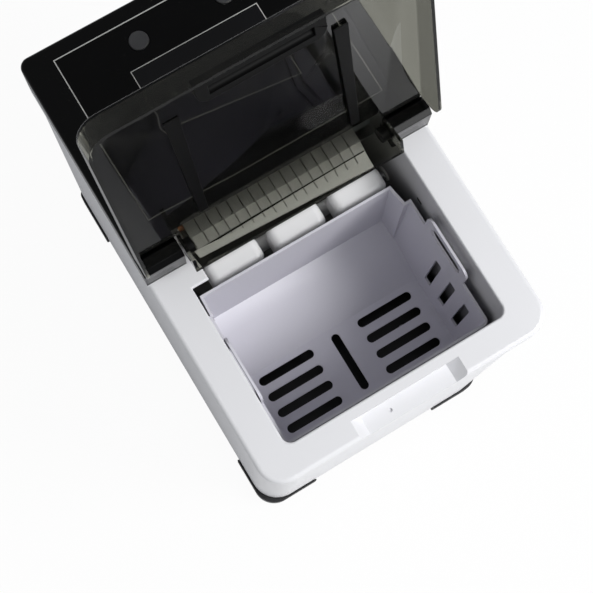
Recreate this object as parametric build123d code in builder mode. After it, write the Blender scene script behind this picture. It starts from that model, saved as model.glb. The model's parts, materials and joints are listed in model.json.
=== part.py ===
from build123d import *
from math import cos, radians, sin
import os

# Frame: millimetres, X to the right seen from the front, Y to the back, Z up from the table.
# The origin is the middle of the footprint on the table.

# Overall size
WIDTH = 242
DEPTH = 362
DECK_Z = 333
HOUSING_RISE = 29
CORNER_R = 20
REAR_R = 8
INNER_R = 1
FIT = 0.35
RUN_FIT = 0.05
MARGIN = 1

# Body shell, base pan and feet
SHELL_INSET = 2
SHELL_WALL = 3
SHELL_CORNER_R = 27
PAD_H = 3
PAD_R = 7
FOOT_H = 9
FOOT_LENGTH = 55
FOOT_WIDTH = 16
FOOT_WALL = 1.7
FOOT_WALL_H = 12
ARCH_RISE = 5
PAN_T = 3
PAN_LIP = 10
PAN_LIP_T = 2
PAN_SLOTS = 5
PAN_SLOT_PITCH = 14

# Top deck and well
DECK_PLATE = 3
DECK_SKIRT = 16
DECK_EDGE_R = 3.5
SIDE_RIM = 27
FRONT_RIM = 23.5
WELL_R = 7
WELL_EDGE_R = 1.5
OPENING_BACK = 64
SHOULDER_W = 14
SHOULDER_GAP = 1
SCOOP_TOP_W = 92
SCOOP_FLOOR_W = 74
SCOOP_REACH = 15
SCOOP_DEPTH = 9
SCOOP_WALL = 3
PIP_R = 1.4
PIP_X = -15.5
PIP_DEPTH = 1.5

# Water tank under the deck
TANK_WALL = 2.5
WELL_DEPTH = 197
ICE_ROOM_DEPTH = 116
STEP_Y = -12
ICE_ROOM_BACK = 92
FLANGE_W = 8
FLANGE_FRONT = 2.5
FLANGE_T = 3
RAIL_W = 14
RAIL_H = 4
RAIL_BACK = -40

# Ice basket
BASKET_LEFT_GAP = 2
BASKET_RIGHT_GAP = 6
BASKET_FRONT_GAP = 2.5
BASKET_BACK = -25
BASKET_RIM_DROP = 35
BASKET_FLOOR_DROP = 154
BASKET_WALL = 2
BASKET_DRAFT = 2
BASKET_STEP = 5.2
BASKET_STEP_LOW = 1
LEFT_STEP_SHARE = 0.25
BASKET_STEP_BACK = 17
BASKET_SLANT = 3
BASKET_FRONT_R = 5
RAMP_RISE = 19
RAMP_LENGTH = 58
SLOT_W = 7.7
SLOT_PITCH = 15.3
SLOT_ROWS = 4
SLOT_MID_GAP = 22.2
SLOT_WALL_GAP = 11.2
SLOT_FRONT_GAP = 13
SIDE_SLOT_W = 8
SIDE_SLOT_LOW = 26
SIDE_SLOT_HIGH = 27
SIDE_SLOT_PITCH = 20.3
SIDE_SLOTS = 3
SIDE_SLOT_FRONT = 17
TAB_FRONT = 36
TAB_LENGTH = 54
TAB_RISE = 24
TAB_R = 8
TAB_T = 2
GRIP_SLOT_L = 39
GRIP_SLOT_H = 14
GRIP_SLOT_DROP = 14

# Hinge caps, pins and lid
HOUSING_FRONT = -6
CAP_BACK = 9.7
CAP_INNER = 88
CAP_BEVEL = 4
CAP_GROOVE_Z = 3
CAP_GROOVE = 0.8
HINGE_Y = 0
HINGE_RISE = 22.5
PIN_R = 2.5
PIN_LENGTH = 24
PIN_GRIP = 7
LID_OPEN = 109
LID_WALL = 2.5
LID_GAP = 1
LID_SIDE_INSET = 0.5
LID_OVERHANG = 1
LID_FRONT_DEPTH = 19.5
LID_CORNER_R = 18
LID_EDGE_R = 3
LID_JOG = 14
LID_CAP_GAP = 1
KNUCKLE_R = 6
KNUCKLE_LENGTH = 8
LID_HEEL_R = 12
RIB_X = 62
RIB_W = 11
RIB_FOOT_W = 7
RIB_H = 3
RIB_END_H = 1
RIB_NEAR = 30
RIB_FAR = 140
LID_GRIP_W = 92
LID_GRIP_DEPTH = 18
LID_GRIP_T = 6
LID_GRIP_SCOOP_R = 4

# Rear housing, control panel and boards
HOUSING_WALL = 2.5
HOUSING_PLATE = 3
HOUSING_EDGE_R = 4
RECESS_BACK = 18
RECESS_LIP = 10
PANEL_HALF = 97.5
PANEL_FRONT = 30
PANEL_BACK_EDGE = 13
PANEL_T = 1.6
LENS_HALF = 53.5
LENS_DEPTH = 48
LENS_BACK_EDGE = 49
BUTTON_R = 7.5
BUTTON_X = 36
BUTTON_BACK_EDGE = 31
BUTTON_PROUD = 1.2
BUTTON_TRAVEL = 0.8
BUTTON_FLANGE_R = 9.5
BUTTON_FLANGE_T = 1.5
BUTTON_STEM_R = 2.5
BUTTON_STEM = 6
SWITCH_SIZE = 6
SWITCH_H = 4.4
BOARD_T = 1.6
BOARD_INSET = 6
LIGHT_R = 2.3
LIGHT_PITCH = 22
LIGHTS = 4
POST_R = 3.5
POST_H = 8
CONTROL_BOARD_HALF = 84
CONTROL_BOARD_FRONT = 70
CONTROL_BOARD_BACK = 95
DISPLAY_BOARD_HALF = 62
DISPLAY_BOARD_DEPTH = 66
DISPLAY_BOARD_BACK_EDGE = 17
RELAY_W = 20
RELAY_D = 8
RELAY_H = 10
RELAY_EDGE = 1

# Ice making
END_GAP = 20
SHOVEL_Y = -4
SHOVEL_DROP = 85
LOBE_W = 46
LOBE_PITCH = 55.5
LOBE_X = 3
LOBE_FRONT = -24
LOBE_BACK = -1
LOBE_TOP_DROP = 43
LOBE_H = 34
LOBE_R = 7
HUB_R = 6
ARM_W = 12
SHAFT_R = 3
BUSH_R = 4.5
BUSH_FLANGE_R = 6.5
BUSH_FLANGE_T = 1.5
COVER_DROP = 17
COVER_T = 2
COVER_FRONT = -2
COVER_FOLD = 5
COVER_DIP = 8
FOLD_GROOVE = 0.9
SLIT_W = 0.8
SLIT_PITCH = 9.2
SLITS = 15
SLIT_BACK = 44
SLIT_OVER = 3
EVAP_DROP = 21
EVAP_T = 12
EVAP_FRONT = 16
EVAP_BACK = 62
EVAP_EDGE_R = 4
FINGER_R = 5.5
FINGER_L = 39
FINGER_PITCH = 28
FINGER_TIP_R = 4.5
FINGER_FRONT = 26
FINGER_ROW_PITCH = 20
FRONT_FINGERS = 5
BRACKET_HALF = 68
BRACKET_T = 4
BRACKET_FLANGE = 3
BRACKET_REACH = 28
BRACKET_DROP = 25
TRAY_FRONT = 14
TRAY_BACK = 58
TRAY_TOP_DROP = 52
TRAY_H = 30
TRAY_WALL = 2
TRAY_AXIS_Y = 62
TRAY_AXIS_DROP = 58
EAR_R = 7
MOTOR_R = 25
MOTOR_LENGTH = 18.5
MOTOR_BORE = 5
SENSOR_Y = -46
SENSOR_DROP = 40
SENSOR_W = 6
SENSOR_H = 4
SENSOR_BODY = 11
SENSOR_BODY_T = 7

# Water
PUMP_X = 45
PUMP_Y = -60
PUMP_R = 20
PUMP_H = 34
NOZZLE_R = 4
NOZZLE_L = 7
NOZZLE_DROP = 22
INLET_R = 4
HOSE_R = 5
HOSE_BORE = 3
HOSE_BEND = 9
HOSE_Y = 36
HOSE_DROP = 40
SPOUT_X = 66
DRAIN_X = 60
DRAIN_Y = -110
DRAIN_Z = 38
DRAIN_R = 6
DRAIN_BORE = 4
DRAIN_CAP_R = 9.5
DRAIN_CAP_REACH = 6.5
DRAIN_FLANGE_R = 12
DRAIN_FLANGE_T = 1.6

# Insulation
FOAM_BACK = -20
FOAM_CLEAR = 0.4
FOAM_TOP_GAP = 6

# Cooling machine
COMP_SIDE_GAP = 6
COMP_BACK_GAP = 27
COMP_R = 44
COMP_H = 125
COMP_EDGE_R = 16
COMP_BASE_HALF = 50
COMP_BASE_R = 8
COMP_BASE_T = 3
COMP_BOLT_OFFSET = 42
GROMMET_R = 8
GROMMET_H = 10
BOLT_R = 2.5
BOLT_HEAD_R = 4.5
BOLT_HEAD_H = 3.5
COND_GAP = 8
COND_LANE_GAP = 22.25
COND_T = 24
COND_H = 170
COND_BACK_GAP = 4
COND_FINS = 18
COND_FIN_GAP = 5
COND_CORE = 5
SHROUD_T = 4
FAN_EDGE = 8
FAN_TIP_GAP = 2
FAN_DEPTH = 16
FAN_HUB_R = 13
FAN_BLADES = 5
FAN_BLADE_T = 2
FAN_BLADE_TILT = 32
FAN_REAR_GAP = 3
FAN_MOTOR_R = 17
FAN_MOTOR_L = 26
FAN_MOTOR_GAP = 4
FAN_SHAFT_R = 2.5
FAN_ARM_W = 8
FAN_ARM_T = 4
DRIER_Y = 56
DRIER_Z = 60
DRIER_R = 8.5
DRIER_L = 80
PIPE_R = 2.5
PIPE_BEND = 8
SUCTION_R = 4
SUCTION_SIDE = 12
SUCTION_Y = 30
RISER_CLEAR = 10.5
DISCHARGE_SIDE = 18
DISCHARGE_RISE = 34
DRIER_FEED_Z = 30

# Back panel and power inlet
BACK_PANEL_HALF = 84
BACK_PANEL_LOW = 60
BACK_PANEL_HIGH = 210
BACK_WINDOW_EDGE = 10
LOUVRES = 11
LOUVRE_H = 5
LOUVRE_EDGE = 18
SCREW_R = 1.5
SCREW_L = 6
SCREW_HEAD_R = 2.9
SCREW_HEAD_H = 1.2
SCREW_EDGE = 5
INLET_X = -55
INLET_Z = 40
INLET_W = 26
INLET_H = 18
INLET_L = 16
INLET_FLANGE = 3
INLET_WALL = 3
INLET_PIN = 2

# Places worked out from the sizes above
HALF_W = WIDTH / 2
HALF_D = DEPTH / 2
HOUSING_TOP = DECK_Z + HOUSING_RISE
DECK_UNDER = DECK_Z - DECK_PLATE
FOOT_TOP = PAD_H + FOOT_H
SHELL_TOP = DECK_Z - DECK_SKIRT
SHELL_X = HALF_W - SHELL_INSET
SHELL_Y = HALF_D - SHELL_INSET
PAN_TOP = FOOT_TOP + PAN_T
PAN_INSET = SHELL_INSET + SHELL_WALL + FIT
WELL_HALF = HALF_W - SIDE_RIM
WELL_FRONT = -HALF_D + FRONT_RIM
TANK_FLOOR = DECK_Z - WELL_DEPTH
TANK_UNDER = TANK_FLOOR - TANK_WALL
ICE_FLOOR = DECK_Z - ICE_ROOM_DEPTH
TANK_X = WELL_HALF + TANK_WALL
TANK_BACK = ICE_ROOM_BACK + TANK_WALL
BASKET_HALF = WELL_HALF - (BASKET_LEFT_GAP + BASKET_RIGHT_GAP) / 2
BASKET_X = (BASKET_LEFT_GAP - BASKET_RIGHT_GAP) / 2
BASKET_FRONT = WELL_FRONT + BASKET_FRONT_GAP
BASKET_RIM = DECK_Z - BASKET_RIM_DROP
BASKET_UNDER = DECK_Z - BASKET_FLOOR_DROP
BASKET_FLOOR = BASKET_UNDER + BASKET_WALL
HINGE_Z = DECK_Z + HINGE_RISE
PANEL_Z = HOUSING_TOP - PANEL_T
PANEL_BACK = HALF_D - PANEL_BACK_EDGE
LENS_BACK = HALF_D - LENS_BACK_EDGE
LENS_FRONT = LENS_BACK - LENS_DEPTH
BUTTON_Y = HALF_D - BUTTON_BACK_EDGE
DISPLAY_BOARD_BACK = HALF_D - DISPLAY_BOARD_BACK_EDGE
DISPLAY_BOARD_FRONT = DISPLAY_BOARD_BACK - DISPLAY_BOARD_DEPTH
HOUSING_UNDER = HOUSING_TOP - HOUSING_PLATE
BUTTON_BOTTOM = HOUSING_UNDER - BUTTON_FLANGE_T - BUTTON_STEM
SHOVEL_Z = DECK_Z - SHOVEL_DROP
ROOM_HALF = WELL_HALF - END_GAP
EVAP_UNDER = DECK_Z - EVAP_DROP - EVAP_T
TRAY_AXIS_Z = DECK_Z - TRAY_AXIS_DROP
SHELL_IN_X = SHELL_X - SHELL_WALL
SHELL_IN_Y = SHELL_Y - SHELL_WALL
SIDE_LANE = (TANK_X + SHELL_IN_X) / 2
COMP_X = -SHELL_IN_X + COMP_SIDE_GAP + COMP_BASE_HALF
COMP_Y = SHELL_IN_Y - COMP_BACK_GAP - COMP_R
COMP_BASE_Z = PAN_TOP + GROMMET_H
COMP_TOP = COMP_BASE_Z + COMP_BASE_T + COMP_H
COND_LEFT = COMP_X + COMP_BASE_HALF + COND_GAP
COND_RIGHT = SIDE_LANE - COND_LANE_GAP
COND_W = COND_RIGHT - COND_LEFT
COND_BACK = SHELL_IN_Y - COND_BACK_GAP
COND_FRONT = COND_BACK - COND_T
COND_Z = PAN_TOP
FAN_X = COND_LEFT + COND_W / 2
FAN_R = COND_W / 2 - FAN_EDGE
FAN_Z = COND_Z + COND_H / 2
FAN_BACK = COND_FRONT - SHROUD_T - FAN_REAR_GAP
FAN_FRONT = FAN_BACK - FAN_DEPTH
PIPE_Z = EVAP_UNDER + EVAP_T / 2

os.makedirs("parts", exist_ok=True)


def keep(piece, name):
    """Label a finished piece and write it under its name."""
    piece.part.label = name
    export_step(piece.part, f"parts/{name}.step")


def outline(inset, mode=Mode.ADD, front_r=CORNER_R):
    """The footprint, drawn in by the inset: wide round corners in front, tight ones behind."""
    rear = HALF_D - inset
    RectangleRounded(WIDTH - 2 * inset, DEPTH - 2 * inset, front_r - inset, mode=mode)
    with Locations((0, rear / 2)):
        RectangleRounded(WIDTH - 2 * inset, rear, max(REAR_R - inset, INNER_R), mode=mode)


def field(x0, x1, y0, y1, mode=Mode.ADD):
    """A rectangle in a sketch between two corners."""
    with Locations(((x0 + x1) / 2, (y0 + y1) / 2)):
        Rectangle(x1 - x0, y1 - y0, mode=mode)


def block(x0, x1, y0, y1, z0, z1, mode=Mode.ADD):
    """A box in a part between two corners."""
    with Locations(((x0 + x1) / 2, (y0 + y1) / 2, (z0 + z1) / 2)):
        Box(x1 - x0, y1 - y0, z1 - z0, mode=mode)


def rod_x(x0, x1, y, z, radius, mode=Mode.ADD):
    """A round bar along X."""
    with Locations(Location(((x0 + x1) / 2, y, z), (0, 90, 0))):
        Cylinder(radius, abs(x1 - x0), mode=mode)


def rod_y(x, y0, y1, z, radius, mode=Mode.ADD):
    """A round bar along Y."""
    with Locations(Location((x, (y0 + y1) / 2, z), (90, 0, 0))):
        Cylinder(radius, abs(y1 - y0), mode=mode)


def rod_z(x, y, z0, z1, radius, mode=Mode.ADD):
    """A round bar along Z."""
    with Locations((x, y, (z0 + z1) / 2)):
        Cylinder(radius, abs(z1 - z0), mode=mode)


def pipe(points, bend, radius, bore=0):
    """A tube of straight runs and round bends through the points."""
    with BuildPart() as tube:
        with BuildLine():
            route = FilletPolyline(*points, radius=bend)
        with BuildSketch(Plane(origin=route @ 0, z_dir=route % 0)):
            Circle(radius)
            if bore:
                Circle(bore, mode=Mode.SUBTRACT)
        sweep()
    return tube


# Body shell: one tube of wall with a raised lower edge between the feet
with BuildPart() as body_shell:
    with BuildSketch(Plane.XY.offset(FOOT_TOP)):
        outline(SHELL_INSET, front_r=SHELL_CORNER_R)
        outline(SHELL_INSET + SHELL_WALL, Mode.SUBTRACT, SHELL_CORNER_R)
    extrude(amount=SHELL_TOP - FOOT_TOP)
    foot_x = HALF_W - FOOT_LENGTH
    foot_y = HALF_D - FOOT_LENGTH
    block(-foot_x, foot_x, -HALF_D, HALF_D, FOOT_TOP, FOOT_TOP + ARCH_RISE, Mode.SUBTRACT)
    block(-HALF_W, HALF_W, -foot_y, foot_y, FOOT_TOP, FOOT_TOP + ARCH_RISE, Mode.SUBTRACT)
    window_x = BACK_PANEL_HALF - BACK_WINDOW_EDGE
    window_low = BACK_PANEL_LOW + BACK_WINDOW_EDGE
    window_high = BACK_PANEL_HIGH - BACK_WINDOW_EDGE
    block(-window_x, window_x, SHELL_IN_Y - MARGIN, HALF_D, window_low, window_high, Mode.SUBTRACT)
    inlet_x = INLET_W / 2 + FIT
    inlet_z = INLET_H / 2 + FIT
    block(
        INLET_X - inlet_x, INLET_X + inlet_x, SHELL_IN_Y - MARGIN, HALF_D,
        INLET_Z - inlet_z, INLET_Z + inlet_z, Mode.SUBTRACT,
    )
    rod_x(SHELL_IN_X - MARGIN, HALF_W, DRAIN_Y, DRAIN_Z, DRAIN_CAP_R + FIT, Mode.SUBTRACT)
    screw_x = BACK_PANEL_HALF - SCREW_EDGE
    screw_low = BACK_PANEL_LOW + SCREW_EDGE
    screw_high = BACK_PANEL_HIGH - SCREW_EDGE
    screw_mid = (screw_low + screw_high) / 2
    screw_places = [(x, z) for x in (-screw_x, screw_x) for z in (screw_low, screw_mid, screw_high)]
    for x, z in screw_places:
        rod_y(x, SHELL_IN_Y - MARGIN, HALF_D, z, SCREW_R + RUN_FIT, Mode.SUBTRACT)
keep(body_shell, "body_shell")

# Base pan with a raised lip and air slots
with BuildPart() as base_pan:
    with BuildSketch(Plane.XY.offset(FOOT_TOP)):
        outline(PAN_INSET, front_r=SHELL_CORNER_R)
    extrude(amount=PAN_T + PAN_LIP)
    with BuildSketch(Plane.XY.offset(PAN_TOP)):
        outline(PAN_INSET + PAN_LIP_T, front_r=SHELL_CORNER_R)
    extrude(amount=PAN_LIP, mode=Mode.SUBTRACT)
    with BuildSketch(Plane.XY.offset(FOOT_TOP)):
        with Locations((0, -HALF_D / 2)):
            with GridLocations(0, PAN_SLOT_PITCH, 1, PAN_SLOTS):
                SlotOverall(WELL_HALF, SLOT_W)
    extrude(amount=PAN_T, mode=Mode.SUBTRACT)
keep(base_pan, "base_pan")

# Feet: an L at each corner, under the shell and a little way up outside it
for name, side, end in (
    ("foot_front_left", -1, -1),
    ("foot_front_right", 1, -1),
    ("foot_rear_left", -1, 1),
    ("foot_rear_right", 1, 1),
):
    corner = (side * (HALF_W - FOOT_LENGTH / 2), end * (HALF_D - FOOT_LENGTH / 2))
    with BuildPart() as foot:
        with BuildSketch(Plane.XY.offset(PAD_H)):
            outline(0)
            outline(FOOT_WIDTH, Mode.SUBTRACT)
            with Locations(corner):
                Rectangle(FOOT_LENGTH, FOOT_LENGTH, mode=Mode.INTERSECT)
        extrude(amount=FOOT_H)
        with BuildSketch(Plane.XY.offset(FOOT_TOP)):
            outline(0)
            outline(FOOT_WALL, Mode.SUBTRACT, SHELL_CORNER_R)
            with Locations(corner):
                Rectangle(FOOT_LENGTH, FOOT_LENGTH, mode=Mode.INTERSECT)
        extrude(amount=FOOT_WALL_H)
    keep(foot, name)

# Foot pads under the middle of each corner
pad_reach = (CORNER_R - FOOT_WIDTH / 2) * sin(radians(45))
front_pad = (HALF_W - CORNER_R + pad_reach, -HALF_D + CORNER_R - pad_reach)
rear_pad = (HALF_W - FOOT_WIDTH / 2, HALF_D - FOOT_WIDTH / 2)
with BuildPart() as foot_pads:
    for x, y in (front_pad, rear_pad):
        rod_z(-x, y, 0, PAD_H, PAD_R)
        rod_z(x, y, 0, PAD_H, PAD_R)
keep(foot_pads, "foot_pads")

# Top deck: rounded in front of the hinge line, square-edged under the rear housing,
# with a shoulder at the left rear of its opening that covers the shaft's end
with BuildPart() as top_deck:
    with BuildSketch(Plane.XY.offset(SHELL_TOP)):
        outline(0)
        field(-HALF_W, HALF_W, HOUSING_FRONT, HALF_D, Mode.SUBTRACT)
    extrude(amount=DECK_SKIRT)
    rim = top_deck.faces().sort_by(Axis.Z)[-1].edges()
    fillet(rim.filter_by_position(Axis.Y, -HALF_D - MARGIN, HOUSING_FRONT - MARGIN), radius=DECK_EDGE_R)
    with BuildSketch(Plane.XY.offset(SHELL_TOP)):
        outline(0)
        field(-HALF_W, HALF_W, -HALF_D, HOUSING_FRONT, Mode.SUBTRACT)
    extrude(amount=DECK_SKIRT)
    with BuildSketch(Plane.XY.offset(SHELL_TOP)):
        outline(DECK_PLATE, front_r=SHELL_CORNER_R)
    extrude(amount=DECK_SKIRT - DECK_PLATE, mode=Mode.SUBTRACT)
    scoop_half = SCOOP_TOP_W / 2
    scoop_back = -HALF_D + SCOOP_REACH
    scoop_floor = DECK_Z - SCOOP_DEPTH
    block(
        -scoop_half - SCOOP_WALL, scoop_half + SCOOP_WALL,
        -HALF_D + DECK_PLATE, scoop_back + SCOOP_WALL,
        scoop_floor - SCOOP_WALL, DECK_UNDER,
    )
    with BuildSketch(Plane.XZ.offset(-scoop_back)):
        with BuildLine():
            Polyline(
                (-SCOOP_FLOOR_W / 2, scoop_floor), (SCOOP_FLOOR_W / 2, scoop_floor),
                (scoop_half, DECK_Z), (-scoop_half, DECK_Z), close=True,
            )
        make_face()
    extrude(amount=SCOOP_REACH, mode=Mode.SUBTRACT)
    rod_z(PIP_X, scoop_back - SCOOP_REACH / 2, scoop_floor - PIP_DEPTH, scoop_floor, PIP_R, Mode.SUBTRACT)
    with BuildSketch(Plane.XY.offset(DECK_UNDER)):
        with Locations((0, (WELL_FRONT + OPENING_BACK) / 2)):
            RectangleRounded(2 * WELL_HALF, OPENING_BACK - WELL_FRONT, WELL_R)
        shoulder_front = BASKET_BACK + SHOULDER_GAP
        field(-WELL_HALF, -WELL_HALF + SHOULDER_W, shoulder_front, OPENING_BACK, Mode.SUBTRACT)
    extrude(amount=DECK_PLATE, mode=Mode.SUBTRACT)
    deck_top = top_deck.faces().filter_by(Axis.Z).sort_by(Axis.Z)[-1]
    fillet(deck_top.inner_wires()[0].edges(), radius=WELL_EDGE_R)
keep(top_deck, "top_deck")

# Places of the holes that the tank shares with what passes through it
drain_place = (DRAIN_X, DRAIN_Y)
pump_place = (PUMP_X, PUMP_Y)
shaft_places = ((SHOVEL_Y, SHOVEL_Z), (TRAY_AXIS_Y, TRAY_AXIS_Z))
sensor_z = DECK_Z - SENSOR_DROP
hose_z = DECK_Z - HOSE_DROP
suction_x = -ROOM_HALF - SUCTION_SIDE

# Inside of the tank: a deep well in front, a shallow ice room behind
with BuildPart() as tank_space:
    with BuildSketch(Plane.YZ):
        with BuildLine():
            Polyline(
                (WELL_FRONT, TANK_FLOOR), (STEP_Y, TANK_FLOOR), (STEP_Y, ICE_FLOOR),
                (ICE_ROOM_BACK, ICE_FLOOR), (ICE_ROOM_BACK, DECK_UNDER), (WELL_FRONT, DECK_UNDER), close=True,
            )
        make_face()
    extrude(amount=WELL_HALF, both=True)
    front_corners = tank_space.edges().filter_by(Axis.Z).group_by(Axis.Y)[0]
    fillet(front_corners, radius=WELL_R)

# Water tank: wall round that space, a flange under the deck and rails for the basket
with BuildPart() as water_tank:
    with BuildSketch(Plane.YZ):
        with BuildLine():
            Polyline(
                (WELL_FRONT - TANK_WALL, TANK_UNDER), (STEP_Y + TANK_WALL, TANK_UNDER),
                (STEP_Y + TANK_WALL, ICE_FLOOR - TANK_WALL), (TANK_BACK, ICE_FLOOR - TANK_WALL),
                (TANK_BACK, DECK_UNDER), (WELL_FRONT - TANK_WALL, DECK_UNDER), close=True,
            )
        make_face()
    extrude(amount=TANK_X, both=True)
    fillet(water_tank.edges().filter_by(Axis.Z).group_by(Axis.Y)[0], radius=WELL_R + TANK_WALL)
    with BuildSketch(Plane.XY.offset(DECK_UNDER - FLANGE_T)):
        field(
            -TANK_X - FLANGE_W, TANK_X + FLANGE_W,
            WELL_FRONT - TANK_WALL - FLANGE_FRONT, TANK_BACK + FLANGE_W,
        )
    extrude(amount=FLANGE_T)
    add(tank_space.part, mode=Mode.SUBTRACT)
    for side in (-1, 1):
        rail = sorted((side * (WELL_HALF - RAIL_W), side * (WELL_HALF + TANK_WALL / 2)))
        block(*rail, WELL_FRONT + WELL_R, RAIL_BACK, BASKET_UNDER - RAIL_H, BASKET_UNDER)
    for y, z in shaft_places:
        rod_x(-TANK_X - MARGIN, TANK_X + MARGIN, y, z, BUSH_R + RUN_FIT, Mode.SUBTRACT)
    rod_x(WELL_HALF - MARGIN, TANK_X + MARGIN, HOSE_Y, hose_z, HOSE_R + FIT, Mode.SUBTRACT)
    rod_x(WELL_HALF - MARGIN, TANK_X + MARGIN, DRIER_Y, PIPE_Z, PIPE_R + FIT, Mode.SUBTRACT)
    rod_y(suction_x, ICE_ROOM_BACK - MARGIN, TANK_BACK + MARGIN, PIPE_Z, SUCTION_R + FIT, Mode.SUBTRACT)
    rod_z(*drain_place, TANK_UNDER - MARGIN, TANK_FLOOR + MARGIN, DRAIN_BORE, Mode.SUBTRACT)
    rod_z(*pump_place, TANK_UNDER - MARGIN, TANK_FLOOR + MARGIN, INLET_R, Mode.SUBTRACT)
    sensor_y = (SENSOR_Y - SENSOR_W / 2 - FIT, SENSOR_Y + SENSOR_W / 2 + FIT)
    sensor_h = (sensor_z - SENSOR_H / 2 - FIT, sensor_z + SENSOR_H / 2 + FIT)
    block(-TANK_X - MARGIN, TANK_X + MARGIN, *sensor_y, *sensor_h, Mode.SUBTRACT)
keep(water_tank, "water_tank")

# Ice level sensors: a window through each side wall on a body outside it
with BuildPart() as ice_level_sensors:
    for side in (-1, 1):
        lens = sorted((side * WELL_HALF, side * (TANK_X + MARGIN)))
        block(
            *lens, SENSOR_Y - SENSOR_W / 2, SENSOR_Y + SENSOR_W / 2,
            sensor_z - SENSOR_H / 2, sensor_z + SENSOR_H / 2,
        )
        case = sorted((side * TANK_X, side * (TANK_X + SENSOR_BODY_T)))
        block(
            *case, SENSOR_Y - SENSOR_BODY / 2, SENSOR_Y + SENSOR_BODY / 2,
            sensor_z - SENSOR_BODY / 2, sensor_z + SENSOR_BODY / 2,
        )
keep(ice_level_sensors, "ice_level_sensors")

# Insulating foam round the front and sides of the well
foam_inset = SHELL_INSET + SHELL_WALL + FOAM_CLEAR
with BuildPart() as insulation_foam:
    with BuildSketch(Plane.XY.offset(TANK_UNDER)):
        outline(foam_inset, front_r=SHELL_CORNER_R)
        field(
            -TANK_X - FOAM_CLEAR, TANK_X + FOAM_CLEAR,
            WELL_FRONT - TANK_WALL - FOAM_CLEAR, HALF_D, Mode.SUBTRACT,
        )
        field(-HALF_W, HALF_W, FOAM_BACK, HALF_D, Mode.SUBTRACT)
    extrude(amount=SHELL_TOP - FOAM_TOP_GAP - TANK_UNDER)
    pocket = SENSOR_BODY / 2 + FOAM_CLEAR
    for side in (-1, 1):
        hollow = sorted((side * TANK_X, side * (TANK_X + SENSOR_BODY_T + FOAM_CLEAR)))
        block(
            *hollow, SENSOR_Y - pocket, SENSOR_Y + pocket,
            sensor_z - pocket, sensor_z + pocket, Mode.SUBTRACT,
        )
keep(insulation_foam, "insulation_foam")


def basket_outline(inset, drawn_in, step):
    """Plan of the basket at one level: stepped in at the rear, least on the left, and round in front."""
    half = BASKET_HALF - inset - drawn_in
    front = BASKET_FRONT + inset + drawn_in
    back = BASKET_BACK - inset - drawn_in / 2
    step_y = back - BASKET_STEP_BACK
    side = half - step
    rear = side - BASKET_SLANT * step / BASKET_STEP
    left_side = half - LEFT_STEP_SHARE * (half - side)
    left_rear = half - LEFT_STEP_SHARE * (half - rear)
    Polygon(
        (BASKET_X + half, step_y), (BASKET_X + side, step_y), (BASKET_X + rear, back),
        (BASKET_X - left_rear, back), (BASKET_X - left_side, step_y), (BASKET_X - half, step_y),
        (BASKET_X - half, front), (BASKET_X + half, front), align=None,
    )
    fillet(vertices().group_by(Axis.Y)[0], radius=BASKET_FRONT_R - inset)


# Inside of the basket
with BuildPart() as basket_space:
    with BuildSketch(Plane.XY.offset(BASKET_FLOOR)):
        basket_outline(BASKET_WALL, BASKET_DRAFT, BASKET_STEP_LOW)
    with BuildSketch(Plane.XY.offset(BASKET_RIM)):
        basket_outline(BASKET_WALL, 0, BASKET_STEP)
    loft(ruled=True)

# Gentle slope at the back of the basket's floor
with BuildPart() as basket_ramp:
    add(basket_space.part)
    with BuildSketch(Plane.YZ):
        with BuildLine():
            Polyline(
                (BASKET_BACK - RAMP_LENGTH, BASKET_FLOOR), (BASKET_BACK, BASKET_FLOOR),
                (BASKET_BACK, BASKET_FLOOR + RAMP_RISE), close=True,
            )
        make_face()
    extrude(amount=WELL_HALF, both=True, mode=Mode.INTERSECT)

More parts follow.
